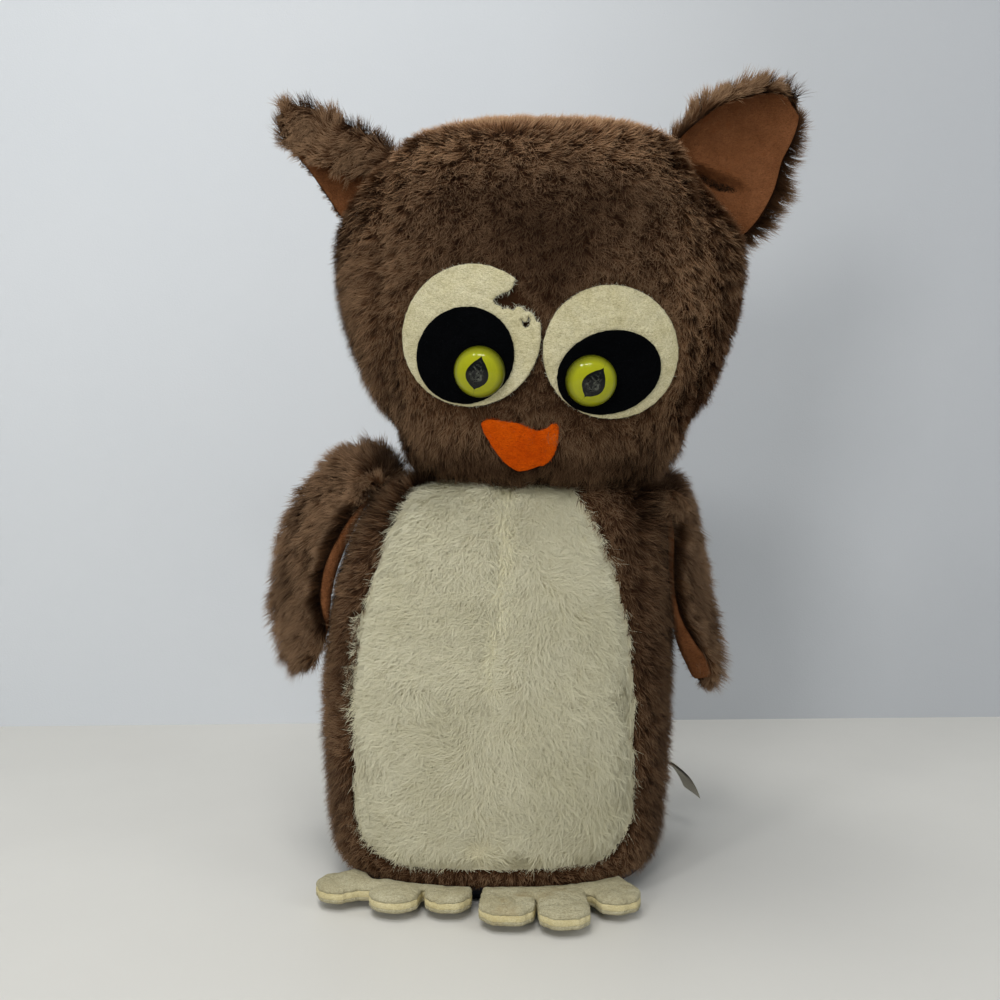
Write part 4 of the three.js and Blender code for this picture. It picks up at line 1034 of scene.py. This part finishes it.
def eye_material(name, slit_turn, slit_at):
    """Painted behind a clear dome: a yellow-green iris with a dark rim, and a leaf-shaped pupil with pale
    flecks deep inside, a painted reflection.
    """
    g = Graph(name)
    x, y, _ = g.node("SeparateXYZ", {0: g.coordinates()}).outputs
    turn = math.radians(slit_turn)
    c, s = math.cos(turn), math.sin(turn)
    px, py = (g.math("SUBTRACT", place, at * MM) for place, at in zip((x, y), slit_at))
    across = g.math("ADD", g.math("MULTIPLY", px, c), g.math("MULTIPLY", py, s))
    along = g.math("SUBTRACT", g.math("MULTIPLY", py, c), g.math("MULTIPLY", px, s))
    share = g.math("DIVIDE", g.math("ADD", along, 0.0079), 0.0158, True)
    half = g.ramp(share, [(0.0, -0.5), (0.07, -0.12), (0.14, 0.2), (0.28, 0.5), (0.45, 0.58), (0.62, 0.5),
                          (0.8, 0.26), (0.93, -0.03), (1.0, -0.4)])
    half.color_ramp.interpolation = "B_SPLINE"
    slit = g.math("SUBTRACT", g.math("MULTIPLY", half, 0.0088), g.math("ABSOLUTE", across))
    pupil = g.math("DIVIDE", g.math("ADD", slit, 0.0001), 0.0002, True)
    radius = g.math("SQRT", g.math("ADD", g.math("MULTIPLY", x, x), g.math("MULTIPLY", y, y)))
    iris = g.ramp(g.math("DIVIDE", radius, EYE_RADIUS * MM),
                  [(0.0, rgb(134, 136, 10)), (0.5, rgb(150, 152, 14)), (0.75, rgb(152, 154, 18)),
                   (0.92, rgb(104, 106, 12)), (1.0, rgb(46, 48, 6))])
    iris = g.mix(g.ramp(g.noise(900.0, 3.0, 0.6), [(0.4, 0.0), (0.7, 0.25)]), iris, rgb(128, 134, 22))
    # Painted reflection: pale smoky flecks deep inside the pupil.
    painted_reflection = g.ramp(g.noise(420.0, 4.0, 0.6, None, 1.0), [(0.5, 0.0), (0.68, 1.0)])
    depth = g.ramp(g.math("DIVIDE", slit, 0.0044, True), [(0.25, 0.0), (0.6, 1.0)])
    inner = g.mix(depth, rgb(1, 2, 1), g.mix(painted_reflection, rgb(2, 3, 2), rgb(84, 86, 76)))
    return g.finish(g.mix(pupil, iris, inner), 0.3, 0.02, Coat_Weight=0.7, Coat_Roughness=0.0, Coat_IOR=1.42)


def eye_frame(node):
    """The axis of a packed eye, out of the face, the middle of its seat in metres and its shank's length."""
    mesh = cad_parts[node].data
    p = np.array([v.co for v in mesh.vertices])
    middle = p.mean(0)
    values, axes = np.linalg.eigh(np.cov((p - middle).T))
    gaps = [abs(values[(k + 1) % 3] - values[(k + 2) % 3]) for k in range(3)]
    axis = axes[:, int(np.argmin(gaps))]
    if axis[1] > 0:
        axis = -axis
    reach = (p - middle) @ axis
    front, dome = reach.max(), (EYE_RIM + DOME_HEIGHT) * MM
    return axis, middle + axis * (front - dome), front - reach.min() - dome


def eye_piece(side, slit_turn, slit_at):
    axis, seat, shank = eye_frame(f"eye_{side}")
    shank /= MM
    profile = [(2.4, -shank)]
    for ring in range(3):
        z = -shank + 1 + 2 * ring
        profile += [(2.6, z - 0.9), (3.2, z + 0.35), (3.3, z + 0.6), (3.25, z + 0.9), (2.6, z + 1.0)]
    profile += [(2.6, -0.4), (3.0, 0), (10.5, 0), (10.9, 0.15), (11.0, 0.5), (11.0, 1.2)]
    profile += [(EYE_RADIUS * math.cos(a), EYE_RIM + DOME_HEIGHT * math.sin(a))
                for a in np.linspace(0.05, math.pi / 2, 26)[:-1]]
    steps = 96
    turn = full_turn(steps)
    rings = [np.stack([r * np.cos(turn), r * np.sin(turn), np.full(steps, z)], 1) for r, z in profile]
    p = np.concatenate([*rings, [[0, 0, -shank], [0, 0, EYE_RIM + DOME_HEIGHT]]])
    faces = [*grid_faces(len(rings), steps, True), *ring_caps(len(p) - 2, steps)]
    made = mesh_object(f"eye_{side}_dome", p, faces, eye_material(f"eye_{side}_plastic", slit_turn, slit_at))
    out = Vector(axis)
    across = Vector((1, 0, 0))
    across = (across - out * across.dot(out)).normalized()
    turned = Matrix((across, out.cross(across), out)).transposed().to_4x4()
    made.matrix_world = Matrix.Translation(Vector(seat)) @ turned
    bpy.context.view_layer.update()
    placed(made, "head", "eye_plastic", f"eye_{side}")


eye_piece("right", -13.0, (0.2, 0.2))
eye_piece("left", -33.0, (0.3, 0.2))


# Ears and wings: plush and felt on one curved sheet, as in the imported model. A flap's path runs out from its
# seam as shares of its length, and its lists hold values along it. side is 1 for the owl's left. Angles are
# in degrees: lay tips the sheet, curl rolls it up across, and roll turns its front rim over at rims.

EARS = {
    "right": dict(side=-1, seat=338, length=64, width=57, shifts=[-3, 3, 10, 11, 5], rounded=0.72,
                  folded=True, curl=178, starts=[0.35, 0.2, -0.05, -0.16, -0.2], curled=0.35,
                  curls=[0.8, 1, 1, 1, 1],
                  lay=-8, lays=[0, 0.7, 1, 0.7, 0], half=[1, 1.02, 1.02, 0.86, 0.6], clear=1.0,
                  path=[(0, 0), (0.33, 0.02), (0.66, 0), (1, -0.04)]),
    "left": dict(side=1, seat=331, length=68, width=54, shifts=[0, 5, 10.5, 15.5, 15], rounded=0.74,
                 folded=False, curl=110, starts=[-0.1, -0.1], curled=1.1, curls=[0.3, 0.8, 1, 1, 0.7],
                 lay=-20, lays=[0, 0.7, 1, 0.7, 0], half=[1.05, 1.22, 1.12, 0.76, 0.42], clear=-6,
                 path=[(0, 0), (0.33, 0.03), (0.66, 0.04), (1, 0)]),
}
WINGS = {
    "right": dict(side=-1, lay=24, lays=[0, 0.8, 1, 1.05, 1.1], half=[0.7, 0.9, 1, 1.08, 1.12, 1.05],
                  roll=125, rims=[1, 0.92, 0.82, 0.8, 1.1],
                  path=[(0, 0.03), (0.04, 0.085), (0.1, 0.09), (0.183, 0.035), (0.26, -0.075), (0.315, -0.21),
                        (0.35, -0.38), (0.36, -0.54), (0.35, -0.7)]),
    "left": dict(side=1, lay=-34, lays=[0, 0.6, 0.9, 1, 1], half=[0.6, 0.86, 1, 1, 0.95, 0.75],
                 roll=112, rims=[1, 0.97, 0.88, 0.84, 0.35],
                 path=[(0, 0), (0.035, 0.025), (0.08, 0.02), (0.115, -0.06), (0.132, -0.2), (0.147, -0.4),
                       (0.165, -0.6), (0.2, -0.78)]),
}
EAR_TUCK, WING_OUT, WING_SEAT = 9, 2.9, 181


def side_seat(bag, side, height):
    share = (height - bag["foot"]) / bag["height"]
    rows = np.array(bag["rows"])
    above = int(np.flatnonzero(rows[:, 0] > share)[0])
    low, high = (
        np.array([bag["x"](h) + side * bag["width"] / 2 * w, bag["y"], bag["foot"] + bag["height"] * h])
        for h, w, _ in rows[above - 1:above + 1])
    up = unit(high - low)
    place = low + (high - low) * (height - low[2]) / (high[2] - low[2])
    return place, up, np.array([side * up[2], 0, -side * up[0]])


for ear in EARS.values():
    place, up, out = side_seat(HEAD, ear["side"], ear["seat"])
    ear.update(origin=place - out * EAR_TUCK, axes=np.array([up, out, [0, 1, 0]]), bag=HEAD, roll=0, steps=12,
               rims=[1.6, 1.6])
for wing in WINGS.values():
    side = wing["side"]
    place, up, out = side_seat(BODY, side, WING_SEAT)
    wing.update(origin=place + out * WING_OUT, axes=np.array([[0, side, 0], [side, 0, 0], [0, 0, 1]]),
                bag=BODY, length=120, width=60, shifts=[0, 0], rounded=0.84, folded=False, curl=24,
                starts=[-1, -1], curled=2, curls=[0, 0.7, 1, 0.7, 0], clear=1.0, steps=24)


def sheet_local(flap, out, across):
    centre = spline(flap["path"], out) * flap["length"]
    ahead = spline(flap["path"], np.minimum(out + 1e-4, 1)) - spline(flap["path"], np.maximum(out - 1e-4, 0))
    ahead = unit(ahead)
    half, curls, lays, along, start, rim = (
        run(flap[key], out) for key in ("half", "curls", "lays", "shifts", "starts", "rims"))
    curl, lay, roll = (math.radians(flap[key]) for key in ("curl", "lay", "roll"))
    curl, lay = curls * curl, lays * lay
    past = np.clip(out - flap["rounded"], 0, 1) / (1.003 - flap["rounded"])
    half = half * flap["width"] / 2 * np.sqrt(1 - past**2)
    over = 0 * out
    for step in range(flap["steps"]):
        place = across * (step + 0.5) / flap["steps"]
        turn = lay + curl * rise(place, start, flap["curled"])
        turn = turn + flap["side"] * roll * rise(-flap["side"] * place, rim, 0.1)
        along = along + half * across * np.cos(turn) / flap["steps"]
        over = over - half * across * np.sin(turn) / flap["steps"]
    return np.stack([along, centre[..., 0] - over * ahead[..., 1], centre[..., 1] + over * ahead[..., 0]], -1)


def sheet_place(flap, out, across, lift=0.0):
    """Points over the flap's sheet, with the directions over its plush side, along it and towards its tip."""
    out, across = np.broadcast_arrays(np.asarray(out, float), np.asarray(across, float))
    near = lambda v, d, low: np.clip(v + d, low, 1)
    p = sheet_local(flap, out, across)
    along = sheet_local(flap, out, near(across, 5e-3, -1)) - sheet_local(flap, out, near(across, -5e-3, -1))
    ahead = sheet_local(flap, near(out, 5e-3, 0), across) - sheet_local(flap, near(out, -5e-3, 0), across)
    n = unit(np.cross(along, ahead))
    p = p + n * np.asarray(lift)[..., None]
    turned = lambda v: v @ flap["axes"]
    return turned(p) + flap["origin"], turned(n), turned(unit(along)), turned(unit(ahead))


def outs_of(flap, across, rows):
    """For each line across the flap, places from where it leaves the bag to its tip."""
    fine = np.linspace(0, 1, 120)
    starts = []
    for a in across:
        hidden = np.flatnonzero(inside_bag(flap["bag"], sheet_place(flap, fine, a)[0], flap["clear"]))
        starts.append(fine[min(hidden[-1] + 1, 118)] if len(hidden) else 0.0)
    starts = np.array(starts)
    return starts + (1 - starts) * np.linspace(0, 1, rows)[:, None]


SHELL_GRID = 72, 64


def flap_shell(name, flap, material, low, high, crease, reach=(-1.0, 1.0), ends=1.0):
    """A thin closed layer of the flap between two distances from its sheet."""
    rows, columns = SHELL_GRID
    across = np.linspace(*reach, columns)
    out = outs_of(flap, across, rows) * ends
    grid = np.broadcast_to(across, out.shape)
    edge = np.minimum.reduce([(grid - reach[0]) * 30, (reach[1] - grid) * 30, (1 - out / ends) * 60])
    thin = np.sqrt(np.clip(1 - (1 - np.clip(edge, 0, 1)) ** 2, 0.04, 1))
    bent, middle = crease(out, grid), (low + high) / 2
    sides = [sheet_place(flap, out, grid, middle + (at - middle) * thin + bent)[0].reshape(-1, 3)
             for at in (high, low)]
    n = rows * columns
    number = np.arange(n).reshape(rows, columns)
    ring = [*number[0], *number[1:, -1], *number[-1, -2::-1], *number[-2:0:-1, 0]]
    rim = [(a, b, b + n, a + n) for a, b in zip(ring, ring[1:] + ring[:1])]
    faces = grid_faces(rows, columns, False)
    return mesh_object(name, np.concatenate(sides), [*faces, *(faces[:, ::-1] + n), *rim], material)


def flap_roots(flap, per_mm2, seed, lift=1.2):
    r = np.random.default_rng(seed)
    rows, columns = 60, 40
    out, across = np.meshgrid(np.linspace(0, 1, rows + 1), np.linspace(-1, 1, columns + 1), indexing="ij")
    p = sheet_place(flap, out, across)[0]
    area = np.linalg.norm(np.cross(p[1:, :-1] - p[:-1, :-1], p[:-1, 1:] - p[:-1, :-1]), axis=-1).ravel()
    count = int(area.sum() * per_mm2)
    cell = r.choice(len(area), count, p=area / area.sum())
    o = (cell // columns + r.random(count)) / rows
    a = -1 + 2 * (cell % columns + r.random(count)) / columns
    found = (*sheet_place(flap, o, a, lift), o, a)
    keep = ~inside_bag(flap["bag"], found[0], 0.6)
    return [v[keep] for v in found]


def flap_fur(flap, density, seed, length, tone, fringe, hang, fringe_length):
    """The fur of a flap's plush side and its fringe, and on a wing also some under its root."""
    wing, folded, width = flap["bag"] is BODY, flap["folded"], PILE_WIDTH * 1.1
    p, n, along, ahead, out, across = flap_roots(flap, density, seed)
    down = np.array([0, 0, -hang])
    flow = 0.8 * ahead + down + 0.9 * wander(p, 24, seed + 1) + 0.5 * wander(p, 10, seed + 5)
    lipped = np.clip((-flap["side"] * across - run(flap["rims"], out)) / 0.4 + 1, 0, 1)
    flow = flow + along * (0.9 * across**3 - across * 2.4 * lipped)[:, None]
    size = length * (1 + 0.16 * fractal(p, 16, seed + 9)) * (1 - 0.55 * lipped)
    size = size * (1 + 0.8 * np.clip(1 - out * 6, 0, 1) + 0.25 * np.clip(out * 2 - 1, 0, 1) if wing else
                   np.clip(0.55 + out * flap["length"] / 22, 0.55, 1))
    size = size * (np.clip(1.2 + across, 0.3, 1) if folded else 1)
    lean = 0.7 + 0.25 * fractal(p, 16, seed + 10)
    shade = tone + 0.34 * fractal(p, 18, seed + 11, 4)
    bundles = [strand_mesh(p, n, flow, size, lean, width, shade, segments=3, clump=3.6, pull=0.6, curl=0.2,
                           seed=seed)]

    r = np.random.default_rng(seed + 20)
    count = int(fringe * (2 * flap["length"] + 0.3 * flap["width"]))
    where = r.random(count)
    tip = where > 0.96
    o = np.where(tip, 1.0, r.random(count) ** 0.8)
    a = np.where(tip, r.uniform(-1, 1, count), np.where(r.random(count) < 0.5, -1.0, 1.0))
    q, m, beside, onward = sheet_place(flap, o, a, r.uniform(-0.6, 2.6, count))
    end = rise(o, 0.8, 0.18)[:, None]
    outward = unit(onward * end + beside * a[:, None] * (1 - end) + r.uniform(-0.2, 0.7, count)[:, None] * m)
    keep = ~inside_bag(flap["bag"], q, 0.6) & (tip | ~(folded & ((o < 0.8) | (a < -0.99))))
    q, m, onward, outward, o = q[keep], m[keep], onward[keep], outward[keep], o[keep]
    flow = 0.9 * onward + 0.35 * m + down + 0.8 * wander(q, 14, seed + 3)
    size = fringe_length * (1 + 0.25 * noise(q, 9, seed + 4)) * (1 - 0.3 * np.clip(o * 5 - 4, 0, 1))
    shade = tone + 0.1 + 0.3 * fractal(q, 14, seed + 11, 3)
    bundles.append(strand_mesh(q, outward, flow, size, 0.55, width, shade, segments=3, clump=4.2, pull=0.75,
                               curl=0.2, seed=seed + 6))
    if wing:
        p, n, _, ahead, out, _ = flap_roots(flap, density, seed + 30, -1.0)
        p, n, ahead = (v[out < 0.22] for v in (p, n, ahead))
        # Painted shade: the fur under the wing's root is darker.
        shade = tone - 0.15 + 0.2 * fractal(p, 12, seed + 32)
        bundles.append(strand_mesh(p, -n, 0.5 * ahead + wander(p, 12, seed + 31), np.full(len(p), 7.5), 0.6,
                                   PILE_WIDTH, shade, segments=3, clump=3.0, pull=0.5, seed=seed + 33))
    return bundles


def slackness(long, depth, size, seed):
    """A crease function: the soft dents of cloth that isn't pulled tight."""
    def slack(out, across):
        spots = np.stack([out * long, across * 30, 0 * out], -1).reshape(-1, 3)
        return depth * fractal(spots, size, seed).reshape(out.shape)
    return slack


ear_slack, wing_slack = slackness(60, 1.6, 19, 33), slackness(120, 1.0, 22, 34)


def ear_crease(out, across):
    """A tuck near the seam: the felt bulges towards the tip side of a short fold, and sinks on the other."""
    o, a = out * 70 - 13, across * 29 - 8
    far, along = 0.87 * o + 0.5 * a, 0.5 * o - 0.87 * a
    held = rise(along, -9, 9) * rise(along, 30, -12)
    lobe = np.where(far > 0, -4.6 * np.exp(-np.abs(far) / 9), 4.2 * np.exp(-np.abs(far) / 6))
    lobe = lobe * np.tanh(np.abs(far) / 1.8) + 1.6 * dent(far + 1.3, 2.0)
    return lobe * held + ear_slack(out, across)


def wing_crease(out, across):
    return wing_slack(out, across) * np.clip(out * 6, 0, 1)


for kind, flaps in (("ear", EARS), ("wing", WINGS)):
    for index, (side, flap) in enumerate(flaps.items()):
        body = f"{kind}_{side}"
        seed = 300 + 40 * index + (20 if kind == "wing" else 0)
        crease = {"ear_left": ear_crease, "ear_right": ear_slack}.get(body, wing_crease)
        backing = flap_shell(f"{body}_backing", flap, BROWN_BACKING, 0.25, 1.5, crease)
        placed(backing, body, "brown_plush", f"{body}_plush")
        reach = (-1.0, 0.97) if flap["folded"] else (-0.97, 0.97)
        lining = flap_shell(f"{body}_lining_felt", flap, RUST_FELT, -1.5, -0.15, crease, reach, 0.965)
        placed(lining, body, "rust_felt", f"{body}_lining")
        size = (flap["width"] * MM, flap["length"] * MM)
        fur = flap_fur(flap, 3.2 * QUICK, seed, 10.0, 0.48, fringe=30.0 * QUICK, fringe_length=10.5,
                       hang=0.1 if kind == "ear" else 0.6)
        placed(strands(f"{body}_pile", BROWN, *fur), body, "brown_plush")


# Feet

def outline_of(node):
    """The outline of a flat CAD piece seen from above, in millimetres, and its lowest and highest point."""
    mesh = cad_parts[node].data
    p = np.array([v.co for v in mesh.vertices]) * 1000
    key = {}
    same = np.array([key.setdefault(tuple(np.round(v, 3)), i) for i, v in enumerate(p)])
    top = p[:, 2].max()
    edges = set()
    for poly in mesh.polygons:
        corners = [same[i] for i in poly.vertices]
        if poly.normal.z > 0.9 and all(abs(p[i, 2] - top) < 0.01 for i in corners):
            for k in range(len(corners)):
                edges.add((corners[k], corners[(k + 1) % len(corners)]))
    following = {a: b for a, b in edges if (b, a) not in edges}
    start = next(iter(following))
    loop, at = [start], following[start]
    while at != start and len(loop) < 500:
        loop.append(at)
        at = following[at]
    return p[loop][:, :2], p[:, 2].min(), top


def toe_raise(p):
    """The outer toe of the right foot stands up a little."""
    return 4.5 * rise(p[:, 0], -52, -14) ** 1.5 * rise(p[:, 1], -70, -14)


def toe_fold(p):
    return dent(p[:, 1] + 0.25 * p[:, 0] % 7 + 76 + 3 * noise(level(p), 11, 9), 0.8)


def foot_pieces(side):
    for layer, material, slot in (("sole", FOOT_FELT, "foot_felt"), ("foam", FOOT_FOAM, "foot_foam"),
                                  ("top", FOOT_FELT, "foot_felt")):
        loop, low, high = outline_of(f"foot_{side}_{layer}")
        loop = rounded_loop(loop)
        low -= 1.0 if layer == "top" else 0
        high += 1.0 if layer == "sole" else 0
        puff = lambda p: 1.5 * (1 - np.exp(-edge_distance(p, loop) / 3)) - 0.8 * toe_fold(p) + toe_raise(p)
        kind, edge = ("core", 0.35) if layer == "foam" else ("felt", 0.9)
        piece, _, area = felt_patch(f"foot_{side}_{layer}_{kind}", material, loop, flat_place, low, high - low,
                                    seed=41, ragged=0.3, edge=edge, relief=0.35, step=1.3,
                                    warp=puff if layer == "top" else toe_raise)
        placed(piece, f"foot_{side}", slot, f"foot_{side}_{layer}")


for side in ("right", "left"):
    foot_pieces(side)


# Label: a folded ribbon with nothing on it

def label_piece():
    a, b, c = np.array([66, 49.0]), np.array([96, 46.0]), np.array([104, 23.0])
    s = np.linspace(0, 1, 24)[:, None]
    spine = a * (1 - s) ** 2 + 2 * b * s * (1 - s) + c * s**2
    tangent = unit(np.gradient(spine, axis=0))
    side = np.stack([-tangent[:, 1], tangent[:, 0]], 1)
    gap = 0.38 * np.sin(np.pi * np.clip(s * 1.02, 0, 1)) + 0.12
    loop = np.vstack([spine + side * gap, (spine - side * gap)[::-1]])
    loop = loop[loop[:, 0] >= 79]
    wide = np.linspace(20, 40, 14)
    grid = np.stack([np.repeat(loop[:, 0], 14), np.tile(wide, len(loop)), np.repeat(loop[:, 1], 14)], 1)
    grid[:, 0] += 0.25 * rise(grid[:, 0], 82, 16) * (30 - grid[:, 1])
    grid[:, 2] += 0.5 * noise(grid, 9, 8)
    made = mesh_object("side_label_ribbon", grid, grid_faces(len(loop), 14, False), RIBBON)
    placed(made, "torso", "ribbon", "side_label")


label_piece()


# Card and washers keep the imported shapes

def card_material():
    g = Graph("grey_card")
    fibres, specks = g.noise(700.0, 5.0, 0.65), g.noise(2600.0, 2.0, 0.5)
    colour = g.mix(fibres, rgb(160, 136, 102), rgb(188, 164, 126))
    colour = g.mix(g.ramp(specks, [(0.62, 0.0), (0.72, 0.6)]), colour, rgb(110, 90, 66))
    return g.finish(colour, 0.85, 0.2, g.bump(fibres, 0.0001))


def washer_material():
    g = Graph("moulded_washer")
    clouds, grain = g.noise(180.0, 3.0), g.noise(1800.0, 2.0)
    colour = g.mix(clouds, rgb(222, 220, 212), rgb(234, 233, 227))
    return g.finish(colour, g.ramp(grain, [(0.3, 0.38), (0.7, 0.5)]), 0.45, g.bump(grain, 0.00003))


CARD, WASHER = card_material(), washer_material()
for node, material in (("base_board", CARD), ("eye_washer_left", WASHER), ("eye_washer_right", WASHER)):
    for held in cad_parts[node].material_slots:
        held.material = material
